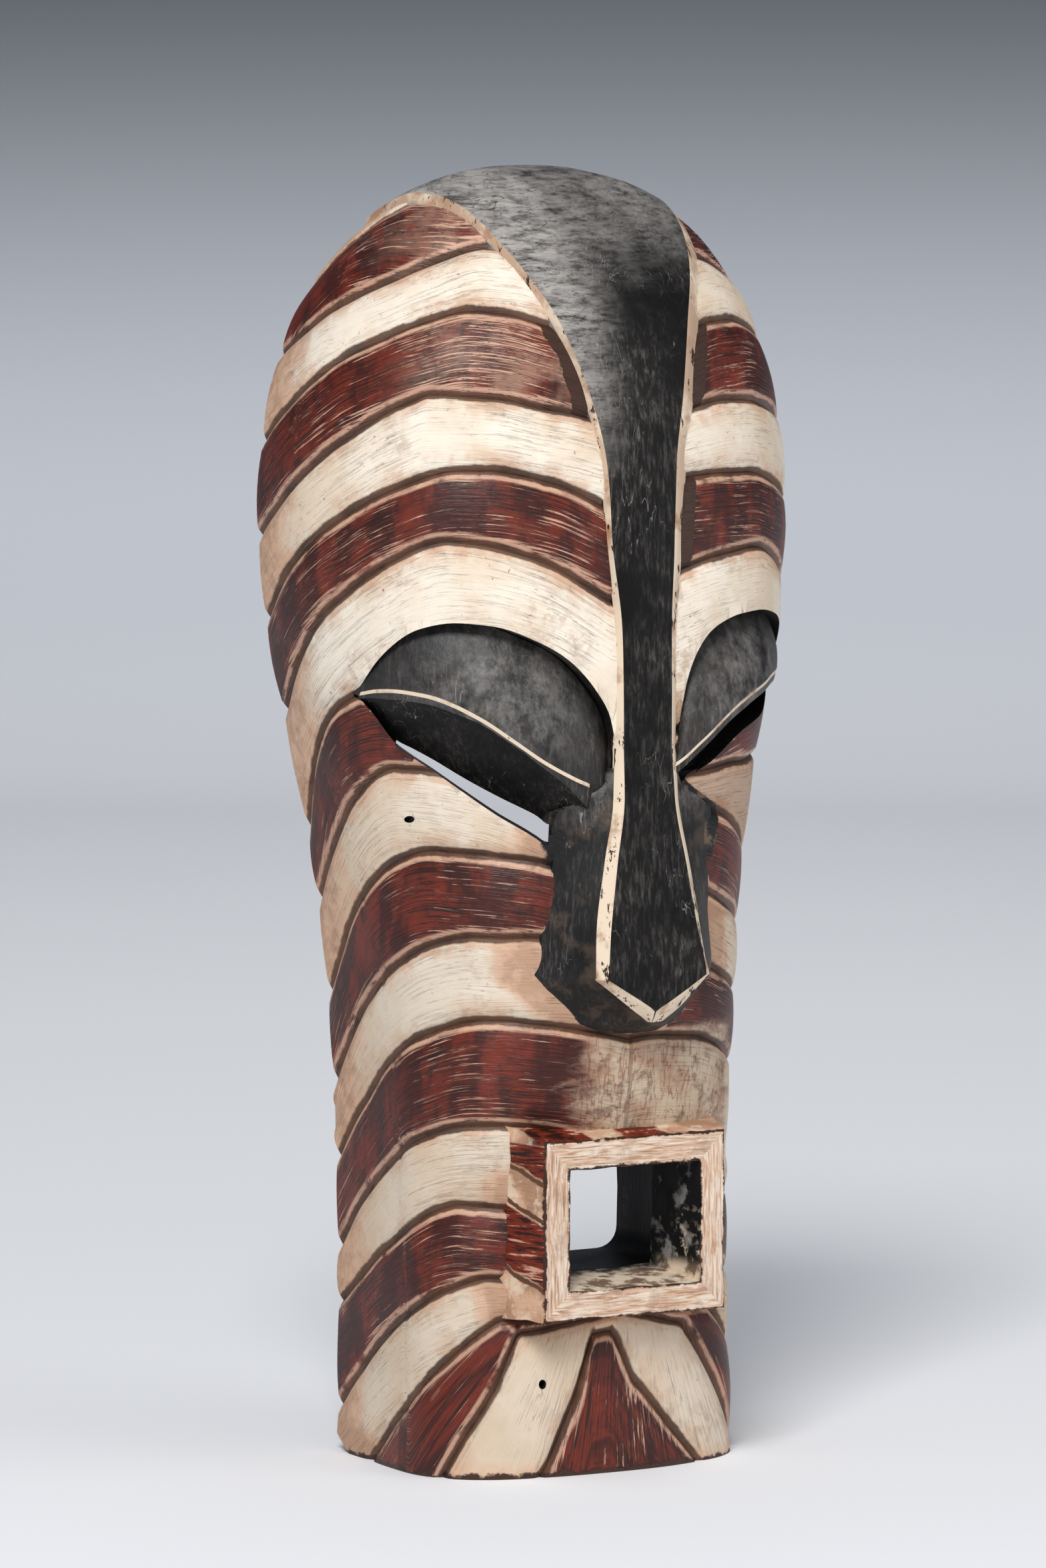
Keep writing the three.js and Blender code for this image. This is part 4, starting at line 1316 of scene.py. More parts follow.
    def opening_cut(self) -> bpy.types.Object:
        """Build the cutter for the slit.

        Returns:
            The cutter.
        """
        used = [k for k, row in enumerate(self.rows) if row.opening > 0]
        places = self.places(used[0], used[-1])
        outline = self.along("slit", places)
        heights = straight_at([(k, self.rows[k].opening) for k in used], places)
        edges = np.concatenate([self.on_face(outline, -self.bite), self.on_face(outline, heights)[::-1]])
        return self.prism(edges, self.slit_direction, self.reach / 2, self.reach / 2, Region.HOLLOW)


@dataclass
class Hollow:
    """The hollow behind the face, and the flat cuts at the back and the foot; sizes in millimetres."""

    head: Head
    side_wall: float = 8.0
    face_wall: float = 17.0
    top_wall: float = 14.0
    chin_block: float = 73.5
    rounding: float = 9.0
    columns: int = 96
    corner_rows: int = 7
    wall_rows: int = 40
    wall_turn: float = 1.5
    tail_columns: int = 5
    corner_length: float = 12.0
    corner_rise: float = 7.0
    overlap: float = 0.01
    beyond: float = 50.0
    ripple: Ripple = Ripple(18.0, 1.0, 7.7)

    def cutter(self) -> bpy.types.Object:
        """Build the cutter for the hollow.

        Returns:
            The cutter.
        """
        head = self.head
        ceiling = head.skin_top - self.top_wall
        base = self.chin_block + self.rounding
        turns = np.linspace(0, math.pi / 2, self.corner_rows)[:-1]
        low = [self.chin_block + self.rounding * (1 - math.cos(turn)) for turn in turns]
        rises = [math.sin(self.wall_turn * k / self.wall_rows) for k in range(self.wall_rows + 1)]
        z = np.array(low + [base + (ceiling - base) * rise for rise in rises])[::-1]
        under = np.clip((base - z) / self.rounding, 0, 1)
        inset = self.rounding * (1 - np.sqrt(1 - under * under))
        section = head.section(z, Walls(self.side_wall + inset, self.face_wall + inset, self.top_wall))
        end = head.back_angle(section)
        rings = []
        for j in range(self.columns + 1):
            way = np.full(len(z), -1 + 2 * j / self.columns)
            rings.append(head.on_section(section, head.angles(section, way)[0], z))
        for j in range(1, self.tail_columns):
            angle = end + (2 * math.pi - 2 * end) * j / self.tail_columns
            rings.append(head.on_section(section, np.where(angle > math.pi, angle - 2 * math.pi, angle), z))
        return Solid.loft("hollow", self.ripple.move(np.stack(rings, axis=1)), Region.HOLLOW)

    def block(self, low: Sequence[float], high: Sequence[float]) -> bpy.types.Object:
        """Build a block between two corners.

        Args:
            low: its lowest corner.
            high: its highest corner.

        Returns:
            The block.
        """
        (x0, y0, z0), (x1, y1, z1) = low, high
        rings = [[(x0, y0, z), (x1, y0, z), (x1, y1, z), (x0, y1, z)] for z in (z1, z0)]
        return Solid.loft("block", np.array(rings, float), Region.CUT)

    def cuts(self) -> list[bpy.types.Object]:
        """Build what is cut off at the back and the foot.

        Returns:
            The cutters.
        """
        head = self.head
        back, wide, tall = head.back, head.width, head.height
        behind = self.block((-wide, back, -tall), (wide, back + 2 * wide, 2 * tall))
        below = self.block((-wide, -wide, -tall), (wide, wide, 0))
        foot, far, rise = -self.overlap, back + self.beyond, self.corner_rise
        profile = [(back - self.corner_length, foot), (far, foot), (far, rise), (back, rise)]
        rings = [[(x, y, z) for y, z in profile] for x in (wide, -wide)]
        corner = Solid.loft("corner", np.array(rings, float), Region.CUT)
        return [behind, below, corner]


class Nodes:
    """Builds a material's shader from short calls."""

    def __init__(self, name: str) -> None:
        """Start a material.

        Args:
            name: the material's name.
        """
        self.material = bpy.data.materials.new(name)
        self.material.use_nodes = True
        self.tree = self.material.node_tree
        self.tree.nodes.clear()

    def _value(self, socket: Socket, value: Socket | float | Sequence[float]) -> None:
        """Link an input to another node's output, or set its constant.

        Args:
            socket: the input.
            value: the output, or the constant.
        """
        if isinstance(value, bpy.types.NodeSocket):
            self.tree.links.new(value, socket)
        else:
            socket.default_value = value

    def attribute(self, name: str) -> Socket:
        """Read a vector stored on the mesh.

        Args:
            name: the attribute's name.

        Returns:
            The vector.
        """
        node = self.tree.nodes.new("ShaderNodeAttribute")
        node.attribute_name = name
        return node.outputs["Vector"]

    def place(self) -> Socket:
        """Read the place on the object, in metres."""
        return self.tree.nodes.new("ShaderNodeTexCoord").outputs["Object"]

    def split(self, vector: Socket) -> tuple[Socket, Socket, Socket]:
        """Take a vector apart.

        Args:
            vector: the vector.

        Returns:
            Its three values.
        """
        node = self.tree.nodes.new("ShaderNodeSeparateXYZ")
        self._value(node.inputs[0], vector)
        return node.outputs[0], node.outputs[1], node.outputs[2]

    def stretch(self, vector: Socket, scale: Sequence[float], turn: float = 0.0) -> Socket:
        """Scale a vector, and turn it in its first plane.

        Args:
            vector: the vector.
            scale: factors along its axes.
            turn: angle in radians.

        Returns:
            The new vector.
        """
        node = self.tree.nodes.new("ShaderNodeMapping")
        self._value(node.inputs["Vector"], vector)
        node.inputs["Rotation"].default_value = (0.0, 0.0, turn)
        node.inputs["Scale"].default_value = tuple(scale)
        return node.outputs[0]

    def noise(
        self, vector: Socket, scale: float, detail: float = 3.0, rough: float = 0.55, bend: float = 0.0
    ) -> Socket:
        """Read cloudy noise.

        Args:
            vector: where to read it.
            scale: how fine it is.
            detail: how many finer layers it has.
            rough: how strong those are.
            bend: how far it is swirled.

        Returns:
            Values around a half.
        """
        node = self.tree.nodes.new("ShaderNodeTexNoise")
        self._value(node.inputs["Vector"], vector)
        node.inputs["Scale"].default_value = scale
        node.inputs["Detail"].default_value = detail
        node.inputs["Roughness"].default_value = rough
        node.inputs["Distortion"].default_value = bend
        return node.outputs["Fac"]

    def math(self, operation: str, a: Socket | float, b: Socket | float = 0.0, clamp: bool = False) -> Socket:
        """Work out a value.

        Args:
            operation: the operation's name.
            a: its first value.
            b: its second value.
            clamp: keep the result between 0 and 1.

        Returns:
            The result.
        """
        node = self.tree.nodes.new("ShaderNodeMath")
        node.operation = operation
        node.use_clamp = clamp
        self._value(node.inputs[0], a)
        self._value(node.inputs[1], b)
        return node.outputs[0]

    def above(self, value: Socket, low: float, high: float) -> Socket:
        """Turn a value into a share that rises from 0 to 1 between two limits.

        Args:
            value: the value.
            low: the limit where the share is 0.
            high: the limit where it is 1; it may be the lower one.

        Returns:
            The share.
        """
        node = self.tree.nodes.new("ShaderNodeMapRange")
        node.interpolation_type = "SMOOTHSTEP"
        self._value(node.inputs["Value"], value)
        if low <= high:
            node.inputs["From Min"].default_value, node.inputs["From Max"].default_value = low, high
            return node.outputs[0]
        node.inputs["From Min"].default_value, node.inputs["From Max"].default_value = high, low
        node.inputs["To Min"].default_value, node.inputs["To Max"].default_value = 1.0, 0.0
        return node.outputs[0]

    def times(self, *values: Socket | float) -> Socket:
        """Multiply values.

        Args:
            values: the values.

        Returns:
            Their product.
        """
        result = values[0]
        for value in values[1:]:
            result = self.math("MULTIPLY", result, value)
        return result

    def clouds(self, vector: Socket, scale: float, low: float, high: float, detail: float = 4.0) -> Socket:
        """Spread patches that begin where the noise is low and are full where it is high."""
        return self.above(self.noise(vector, scale, detail, 0.62), low, high)

    def hairs(self, vector: Socket, scale: Sequence[float], thick: float, turn: float = 0.0) -> Socket:
        """Draw thin wandering lines, which run along the axis with the smallest scale."""
        value = self.noise(self.stretch(vector, scale, turn), 1.0, 2.0, 0.5, 0.3)
        return self.above(self.math("ABSOLUTE", self.math("SUBTRACT", value, 0.5)), thick, thick * 0.3)

    def uneven(self, value: Socket, vector: Socket, scale: float, amount: float) -> Socket:
        """Make a value uneven by an amount of noise, read at a vector."""
        waver = self.math("SUBTRACT", self.noise(vector, scale, 4.0, 0.65), 0.5)
        return self.math("ADD", value, self.math("MULTIPLY", waver, amount))

    def spot(self, vector: Socket, middle: Span, radius: float) -> Socket:
        """Draw a soft round spot, seen from the front, on both halves of the mask.

        Args:
            vector: the place on the object.
            middle: the spot's middle, as a distance from the middle of the face and a height.
            radius: where the spot has faded.

        Returns:
            Shares from 0 to 1.
        """
        x, _, z = self.split(vector)
        across = self.math("SUBTRACT", self.math("ABSOLUTE", x), middle[0])
        up = self.math("SUBTRACT", z, middle[1])
        square = self.math("ADD", self.times(across, across), self.times(up, up))
        return self.above(self.math("SQRT", square), radius, radius * 0.2)

    def cover(self, base: Socket | Sequence[float], paint: Sequence[int], *shares: Socket | float) -> Socket:
        """Lay paint, as seen on a screen, over a colour; the shares that it covers are multiplied."""
        return self.mix(self.times(*shares), base, colour(*paint))

    def mix(self, share: Socket | float, a: Socket | Sequence[float], b: Socket | Sequence[float]) -> Socket:
        """Mix two colours.

        Args:
            share: how much of the second.
            a: the first colour.
            b: the second colour.

        Returns:
            The mix.
        """
        node = self.tree.nodes.new("ShaderNodeMix")
        node.data_type = "RGBA"
        self._value(node.inputs[0], share)
        self._value(node.inputs[6], a)
        self._value(node.inputs[7], b)
        return node.outputs[2]

    def finish(
        self, colour: Socket, rough: Socket | float, height: Optional[Socket] = None, sheen: float = 0.5
    ) -> bpy.types.Material:
        """Close the material.

        Args:
            colour: its colour.
            rough: its roughness.
            height: relief in metres.
            sheen: strength of its gloss.

        Returns:
            The material.
        """
        shader = self.tree.nodes.new("ShaderNodeBsdfPrincipled")
        self._value(shader.inputs["Base Color"], colour)
        self._value(shader.inputs["Roughness"], rough)
        shader.inputs["Specular IOR Level"].default_value = sheen
        if height is not None:
            bump = self.tree.nodes.new("ShaderNodeBump")
            bump.inputs["Strength"].default_value = 1.0
            bump.inputs["Distance"].default_value = 1.0
            self._value(bump.inputs["Height"], height)
            self.tree.links.new(bump.outputs[0], shader.inputs["Normal"])
        output = self.tree.nodes.new("ShaderNodeOutputMaterial")
        self.tree.links.new(shader.outputs[0], output.inputs[0])
        return self.material


def linear(value: int) -> float:
    """Turn one channel as seen on a screen, from 0 to 255, into the renderer's own."""
    share = value / 255
    return share / 12.92 if share <= 0.04045 else ((share + 0.055) / 1.055) ** 2.4


def colour(red: int, green: int, blue: int) -> tuple[float, float, float, float]:
    """Turn a colour as seen on a screen, each channel from 0 to 255, into the renderer's own."""
    return linear(red), linear(green), linear(blue), 1.0


@dataclass(frozen=True)
class Palette:
    """The paints, as seen on a screen."""

    cream: Paint = (230, 210, 184)
    pale: Paint = (246, 234, 216)
    peach: Paint = (216, 174, 143)
    tan: Paint = (172, 132, 104)
    umber: Paint = (96, 63, 44)
    dark_wood: Paint = (62, 38, 27)
    red: Paint = (116, 38, 18)
    deep_red: Paint = (70, 20, 9)
    night: Paint = (32, 13, 9)
    pink: Paint = (216, 170, 144)
    black: Paint = (26, 23, 21)
    soot: Paint = (10, 9, 9)
    grey: Paint = (186, 180, 174)
    dust: Paint = (126, 102, 82)
    # painted shade for the cream low on the mask
    painted_low_shade: Paint = (200, 178, 152)
    rubbed: Paint = (202, 182, 156)


@dataclass(frozen=True)
class BandedPaint:
    """Cream and red-brown bands over a peach undercoat, with umber grooves."""

    palette: Palette = Palette()

    def cream(self, n: Nodes, band: Socket, place: Socket, distance: Socket) -> Socket:
        """Paint the cream bands.

        Args:
            n: the material.
            band: the place along and across the bands, in millimetres.
            place: the place on the object.
            distance: distance to the nearest groove.

        Returns:
            The colour.
        """
        p = self.palette
        base = n.cover(colour(*p.cream), p.pale, n.clouds(place, 20.0, 0.36, 0.6))
        # peach towards the grooves: a tint of the paint and painted shade towards the crease
        edge = n.above(distance, 0.012, 0.002)
        base = n.cover(base, p.peach, 0.8, edge, n.clouds(place, 64.0, 0.42, 0.62))
        base = n.cover(base, p.tan, 0.5, n.clouds(place, 30.0, 0.52, 0.7), n.clouds(place, 190.0, 0.44, 0.6))
        lines = n.hairs(band, (0.03, 0.55, 1.0), 0.012)
        base = n.cover(base, p.umber, 0.55, lines, n.clouds(place, 30.0, 0.44, 0.62))
        specks = n.clouds(place, 480.0, 0.68, 0.74, 2.0)
        return n.cover(base, p.umber, 0.7, specks, n.clouds(place, 38.0, 0.46, 0.6, 2.0))

    def red(
        self, n: Nodes, band: Socket, place: Socket, distance: Socket, painted_sheen: Socket
    ) -> tuple[Socket, Socket]:
        """Paint the red-brown bands.

        Args:
            n: the material.
            band: the place along and across the bands, in millimetres.
            place: the place on the object.
            distance: distance to the nearest groove.
            painted_sheen: how much pale pink sheen is painted on, a painted highlight.

        Returns:
            The colour, and how much the undercoat shows.
        """
        p = self.palette
        blocks = n.above(n.noise(n.stretch(band, (0.075, 0.03, 1.0)), 1.0, 3.0, 0.6), 0.42, 0.58)
        base = n.cover(colour(*p.red), p.deep_red, blocks)
        lines = n.noise(n.stretch(band, (0.03, 1.5, 1.0)), 1.0, 3.0, 0.6, 0.3)
        base = n.cover(base, p.night, 0.9, n.above(lines, 0.54, 0.42), n.clouds(place, 40.0, 0.34, 0.54))
        fine = n.noise(n.stretch(band, (0.035, 1.15, 3.0), 0.02), 1.0, 5.0, 0.7, 0.5)
        where = n.math("ADD", n.clouds(place, 26.0, 0.36, 0.66), n.above(distance, 0.007, 0.002))
        # more pale streaks where the sheen is painted
        where = n.math("ADD", where, n.times(painted_sheen, 0.6))
        over = n.math("SUBTRACT", fine, n.math("SUBTRACT", 0.65, n.times(where, 0.11)))
        streak = n.above(over, 0.0, 0.06)
        broken = n.above(n.noise(place, 70.0, 3.0, 0.6), 0.36, 0.5)
        rim = n.times(n.above(distance, 0.0042, 0.003), broken)
        shows = n.math("MAXIMUM", n.times(streak, 0.85), n.times(rim, 0.8))
        # painted sheen: pale pink over the red bands, a painted highlight on the forehead's upper left
        base = n.cover(base, p.pink, 0.4, painted_sheen, n.clouds(place, 40.0, 0.42, 0.62))
        base = n.cover(base, p.pink, shows)
        return n.cover(base, p.night, 0.8, n.hairs(band, (0.05, 0.8, 1.0), 0.014)), shows

    def faded(self, n: Nodes, place: Socket) -> Socket:
        """Paint the rubbed place under the nose.

        Args:
            n: the material.
            place: the place on the object.

        Returns:
            The colour.
        """
        p = self.palette
        base = n.cover(colour(*p.rubbed), p.tan, 0.8, n.clouds(place, 70.0, 0.4, 0.66))
        base = n.cover(base, p.umber, 0.6, n.clouds(place, 120.0, 0.52, 0.66))
        return n.cover(base, p.red, 0.5, n.hairs(place, (300.0, 300.0, 60.0), 0.03, 0.8))

    def material(self) -> bpy.types.Material:
        """Build the paint.

        Returns:
            The material.
        """
        p = self.palette
        n = Nodes("banded_paint")
        place, band = n.place(), n.attribute("band")
        height = n.split(place)[2]
        red, distance, side = n.split(n.attribute("paint"))
        bare, peach, fade = n.split(n.attribute("wear"))
        soot, brown, painted_sheen = n.split(n.attribute("stain_and_sheen"))
        reach = n.uneven(distance, place, 110.0, 0.0022)
        cream = self.cream(n, band, place, distance)
        # painted shade: the cream darkens towards the bottom of the mask
        cream = n.cover(cream, p.painted_low_shade, 0.5, n.above(height, 0.33, 0.14))
        # peach undercoat, which at the rim of the sides is also painted shade
        cream = n.cover(cream, p.peach, 0.85, n.above(n.uneven(peach, place, 80.0, 0.9), 0.3, 0.75))
        cream = n.cover(cream, p.tan, 0.6, n.above(n.uneven(peach, place, 150.0, 1.2), 0.6, 0.95))
        cream = n.cover(cream, p.tan, 0.75, n.above(n.uneven(brown, place, 60.0, 0.9), 0.35, 0.8))
        paint, shows = self.red(n, band, place, distance, painted_sheen)
        is_red = n.above(red, -0.0002, 0.0002)
        skin = n.mix(is_red, cream, paint)
        brush = n.noise(n.stretch(place, (70.0, 70.0, 190.0), 0.6), 1.0, 5.0, 0.7, 0.6)
        rubbed = n.math("ADD", fade, n.times(n.math("SUBTRACT", brush, 0.5), 1.7))
        rubbed = n.times(n.above(rubbed, 0.25, 0.95), n.above(fade, 0.02, 0.2))
        skin = n.mix(rubbed, skin, n.cover(self.faded(n, place), p.red, 0.45, n.above(fade, 1.0, 0.4)))
        umber = n.cover(colour(*p.umber), p.dark_wood, 0.8, n.clouds(place, 50.0, 0.42, 0.62))
        skin = n.mix(n.times(n.above(reach, 0.0024, 0.0015), 0.94), skin, umber)
        # painted highlight: a peach line along the lower lip of each groove
        below = n.times(
            n.above(side, -0.2, -0.4), n.above(reach, 0.0016, 0.0024), n.above(reach, 0.0044, 0.003)
        )
        skin = n.cover(skin, p.peach, 0.8, below, n.clouds(place, 60.0, 0.42, 0.56))
        torn = n.above(n.uneven(bare, place, 120.0, 0.9), 0.5, 0.54)
        skin = n.cover(skin, p.dark_wood, torn)
        sooty = n.above(n.uneven(soot, place, 150.0, 0.7), 0.36, 0.6)
        skin = n.cover(skin, p.soot, sooty)
        skin = n.cover(skin, p.dust, 0.7, sooty, n.clouds(place, 90.0, 0.52, 0.64))
        chipped = n.above(n.uneven(height, place, 130.0, 0.009), 0.0022, 0.001)
        skin = n.cover(skin, p.dark_wood, chipped)
        relief = n.times(n.noise(n.stretch(band, (0.05, 1.2, 1.0)), 1.0, 3.0, 0.6), 0.00045)
        relief = n.math("ADD", relief, n.times(n.noise(place, 300.0, 3.0, 0.6), 0.00016))
        relief = n.math("SUBTRACT", relief, n.times(shows, 0.00015))
        relief = n.math("SUBTRACT", relief, n.times(n.math("MAXIMUM", torn, chipped), 0.0005))
        rough = n.math("SUBTRACT", 0.6, n.times(is_red, 0.18))
        return n.finish(skin, rough, relief, 0.4)


@dataclass(frozen=True)
class BlackPaint:
    """Satin black with grey rubbed places and painted sheen, as on the crest, the nose and the eyes.

    Rubbed, dusty and painted_sheen are strengths from 0 to 1; the painted sheen is grey clouds that stand in
    for gloss. Worn adds grey brushing and a painted highlight at the crest's upper left and top. Spot is a
    lighter grey spot on both halves, rubbed
    paint with a painted sheen: its distance from the middle of the face, its height and its radius.
    """

    name: str
    rubbed: float = 0.3
    dusty: float = 0.0
    painted_sheen: float = 0.0
    gloss: float = 0.16
    worn: bool = False
    spot: Optional[tuple[float, float, float]] = None
    palette: Palette = Palette()

    def material(self) -> bpy.types.Material:
        """Build the paint.

        Returns:
            The material.
        """
        p = self.palette
        n = Nodes(self.name)
        place = n.place()
        x, _, z = n.split(place)
        patches = n.clouds(place, 24.0, 0.36, 0.64)
        base = n.cover(colour(*p.soot), p.black, patches)
        # painted sheen: grey clouds that lighten the black in place of a gloss
        base = n.cover(base, p.grey, self.painted_sheen, n.clouds(place, 14.0, 0.36, 0.62))
        grain = n.noise(n.stretch(place, (620.0, 620.0, 110.0)), 1.0, 4.0, 0.75)
        base = n.cover(base, p.grey, self.rubbed, n.above(grain, 0.44, 0.8), patches)
        scratches = n.hairs(place, (200.0, 200.0, 40.0), 0.005, 0.5)
        base = n.cover(base, p.grey, 0.4, scratches, n.clouds(place, 40.0, 0.52, 0.62))
        if self.dusty > 0:
            base = n.cover(base, p.dust, self.dusty, n.clouds(place, 90.0, 0.5, 0.66))
        if self.spot:
            across, high, radius = self.spot
            # a lighter grey spot on both halves: rubbed paint with a painted sheen, lightest in its middle
            worn = n.spot(place, (across, high), radius)
            smear = n.noise(n.stretch(place, (150.0, 60.0, 110.0), 0.6), 1.0, 5.0, 0.75)
            base = n.cover(base, p.grey, 0.36, worn, n.above(smear, 0.34, 0.74))
        if self.worn:
            # painted highlight with grey brushing, on the crest's upper left and its top
            left = n.times(n.above(x, 0.012, -0.036), n.above(z, 0.36, 0.46))
            highlight_and_brushing = n.math("MAXIMUM", left, n.times(n.above(z, 0.45, 0.508), 0.6))
            brushed = n.noise(n.stretch(place, (110.0, 60.0, 420.0), 0.6), 1.0, 5.0, 0.75)
            spread = n.above(n.uneven(highlight_and_brushing, place, 22.0, 0.8), 0.1, 1.0)
            base = n.cover(base, p.grey, 0.84, spread, n.above(brushed, 0.26, 0.66))
            base = n.cover(base, p.soot, 0.7, spread, n.hairs(place, (60.0, 60.0, 260.0), 0.01, 0.4))
        relief = n.times(grain, 0.00024)
        rough = n.math("ADD", 0.38, n.times(n.noise(place, 24.0), 0.2))
        return n.finish(base, rough, relief, self.gloss)


@dataclass(frozen=True)
class CreamTrim:
    """Chipped cream paint on the bevels and the lid's ridge."""

    name: str
    chips: float = 0.5
    palette: Palette = Palette()

    def material(self) -> bpy.types.Material:
        """Build the paint.

        Returns:
            The material.
        """
        p = self.palette
        n = Nodes(self.name)
        place = n.place()
        base = n.cover(colour(*p.cream), p.tan, n.clouds(place, 70.0, 0.5, 0.68))
        high = n.above(n.split(place)[2], 0.3, 0.46)
        base = n.cover(base, p.tan, self.chips, 1.4, high, n.clouds(place, 60.0, 0.34, 0.56))
        limit = 0.68 - 0.16 * self.chips
        chip = n.above(n.noise(n.stretch(place, (220.0, 220.0, 90.0)), 1.0, 4.0, 0.7), limit, limit + 0.03)
        base = n.cover(base, p.dark_wood, chip)
        return n.finish(base, 0.6, n.times(chip, -0.0004), 0.35)


@dataclass(frozen=True)
class MouthFrame:
    """Grained peach and cream on the front of the mouth, chipped along its edges; sizes in metres."""

    half: float = 0.0415
    low: float = 0.065
    high: float = 0.1365
    lip: float = 0.0115
    palette: Palette = Palette()

    def material(self) -> bpy.types.Material:
        """Build the paint.

        Returns:
            The material.
        """
        p = self.palette
        n = Nodes("mouth_frame")
        place = n.place()
        x, _, z = n.split(place)
        middle = (self.low + self.high) / 2
        across = n.math("SUBTRACT", self.half, n.math("ABSOLUTE", x))
        along = n.math("SUBTRACT", self.high - middle, n.math("ABSOLUTE", n.math("SUBTRACT", z, middle)))
        outer = n.math("MINIMUM", across, along)
        upright = n.above(n.math("SUBTRACT", along, across), -0.0005, 0.0005)
        flat_grain = n.noise(n.stretch(place, (70.0, 70.0, 900.0)), 1.0, 4.0, 0.65, 0.8)
        tall_grain = n.noise(n.stretch(place, (900.0, 70.0, 70.0)), 1.0, 4.0, 0.65, 0.8)
        level = n.math("SUBTRACT", 1.0, upright)
        grain = n.math("ADD", n.times(upright, tall_grain), n.times(level, flat_grain))
        base = n.cover(colour(*p.peach), p.pale, 0.75, n.above(grain, 0.42, 0.58))
        base = n.cover(base, p.tan, 0.9, n.above(grain, 0.44, 0.34))
        base = n.cover(base, p.tan, 0.5, n.clouds(place, 90.0, 0.5, 0.66))
        near = n.math("MINIMUM", outer, n.math("SUBTRACT", self.lip, outer))
        chip = n.above(n.uneven(near, place, 260.0, 0.004), 0.0009, 0.0003)
        base = n.cover(base, p.dark_wood, chip)
        relief = n.math("SUBTRACT", n.times(grain, 0.0008), n.times(chip, 0.0006))
        return n.finish(base, 0.62, relief, 0.3)


@dataclass(frozen=True)
class MouthSides:
    """Tan sides of the mouth with red patches and the ends of the bands' grooves."""

    grooves: tuple[float, ...] = (0.0775, 0.105, 0.119)
    palette: Palette = Palette()

    def material(self) -> bpy.types.Material:
        """Build the paint.

        Returns:
            The material.
        """
        p = self.palette
        n = Nodes("mouth_sides")
        place = n.place()
        x, y, z = n.split(place)
        base = n.cover(colour(*p.peach), p.tan, n.clouds(place, 60.0, 0.4, 0.62))
        base = n.cover(base, p.cream, 0.7, n.clouds(place, 110.0, 0.5, 0.62))
        slope = n.math("SUBTRACT", z, n.times(n.math("ADD", y, 0.05), 0.35))
        tall = n.uneven(slope, place, 70.0, 0.005)
        wide = n.uneven(x, place, 70.0, 0.006)
        left = n.above(x, -0.0405, -0.0415)
        upper = n.above(tall, 0.1205, 0.1215)
        lower = n.times(n.above(tall, 0.0785, 0.0795), n.above(tall, 0.1035, 0.1025))
        top = n.above(z, 0.1345, 0.1355)
        first = n.times(n.above(wide, -0.044, -0.042), n.above(wide, -0.018, -0.02))
        second = n.times(n.above(wide, -0.006, -0.004), n.above(wide, 0.016, 0.014))
        sides = n.times(n.math("MAXIMUM", upper, lower), left, n.math("SUBTRACT", 1.0, top))
        red = n.math("MAXIMUM", sides, n.times(n.math("MAXIMUM", first, second), top))
        strokes = n.noise(n.stretch(place, (90.0, 60.0, 700.0)), 1.0, 3.0, 0.6)
        paint = n.cover(colour(*p.red), p.night, n.above(strokes, 0.5, 0.38))
        paint = n.cover(paint, p.pink, 0.8, n.above(strokes, 0.56, 0.64))
        base = n.mix(red, base, paint)
        for level in self.grooves:
            gap = n.math("ABSOLUTE", n.math("SUBTRACT", tall, level))
            base = n.cover(base, p.umber, left, n.above(gap, 0.0014, 0.0008), n.math("SUBTRACT", 1.0, top))
        edge = n.above(n.uneven(y, place, 260.0, 0.006), -0.0495, -0.0505)
        base = n.cover(base, p.dark_wood, edge)
        return n.finish(base, 0.6, n.times(strokes, 0.0005), 0.3)


@dataclass(frozen=True)
class TunnelPaint:
    """Mottled beige at the mouth's lips, black further in."""

    palette: Palette = Palette()

    def material(self) -> bpy.types.Material:
        """Build the paint.

        Returns:
            The material.
        """
        p = self.palette
        n = Nodes("mouth_inside")
        place = n.place()
        _, y, z = n.split(place)
        base = n.cover(colour(*p.soot), p.grey, 0.5, n.clouds(place, 90.0, 0.55, 0.68))
        beige = n.cover(colour(*p.cream), p.dust, n.clouds(place, 120.0, 0.46, 0.6))
        floor = n.times(n.above(z, 0.086, 0.08), n.above(n.uneven(y, place, 90.0, 0.03), -0.018, -0.03))
        specks = n.clouds(place, 260.0, 0.54, 0.6)
        flecks = n.times(n.above(z, 0.112, 0.088), n.above(y, -0.03, -0.042), specks)
        base = n.mix(n.math("MAXIMUM", floor, n.times(flecks, 0.8)), base, beige)
        return n.finish(base, 0.6, n.times(n.noise(place, 120.0), 0.0005), 0.3)


@dataclass(frozen=True)
class BareWood:
    """Dark stained wood on the cut back edge and the foot."""

    palette: Palette = Palette()

    def material(self) -> bpy.types.Material:
        """Build the finish.

        Returns:
            The material.
        """
        p = self.palette
        n = Nodes("stained_wood")
        place = n.place()
        grain = n.noise(n.stretch(place, (180, 180, 14)), 1.0, 4.0, 0.65)
        base = n.mix(n.above(grain, 0.4, 0.64), colour(*p.dark_wood), colour(*p.umber))
        return n.finish(base, 0.68, n.times(grain, 0.0003), 0.3)


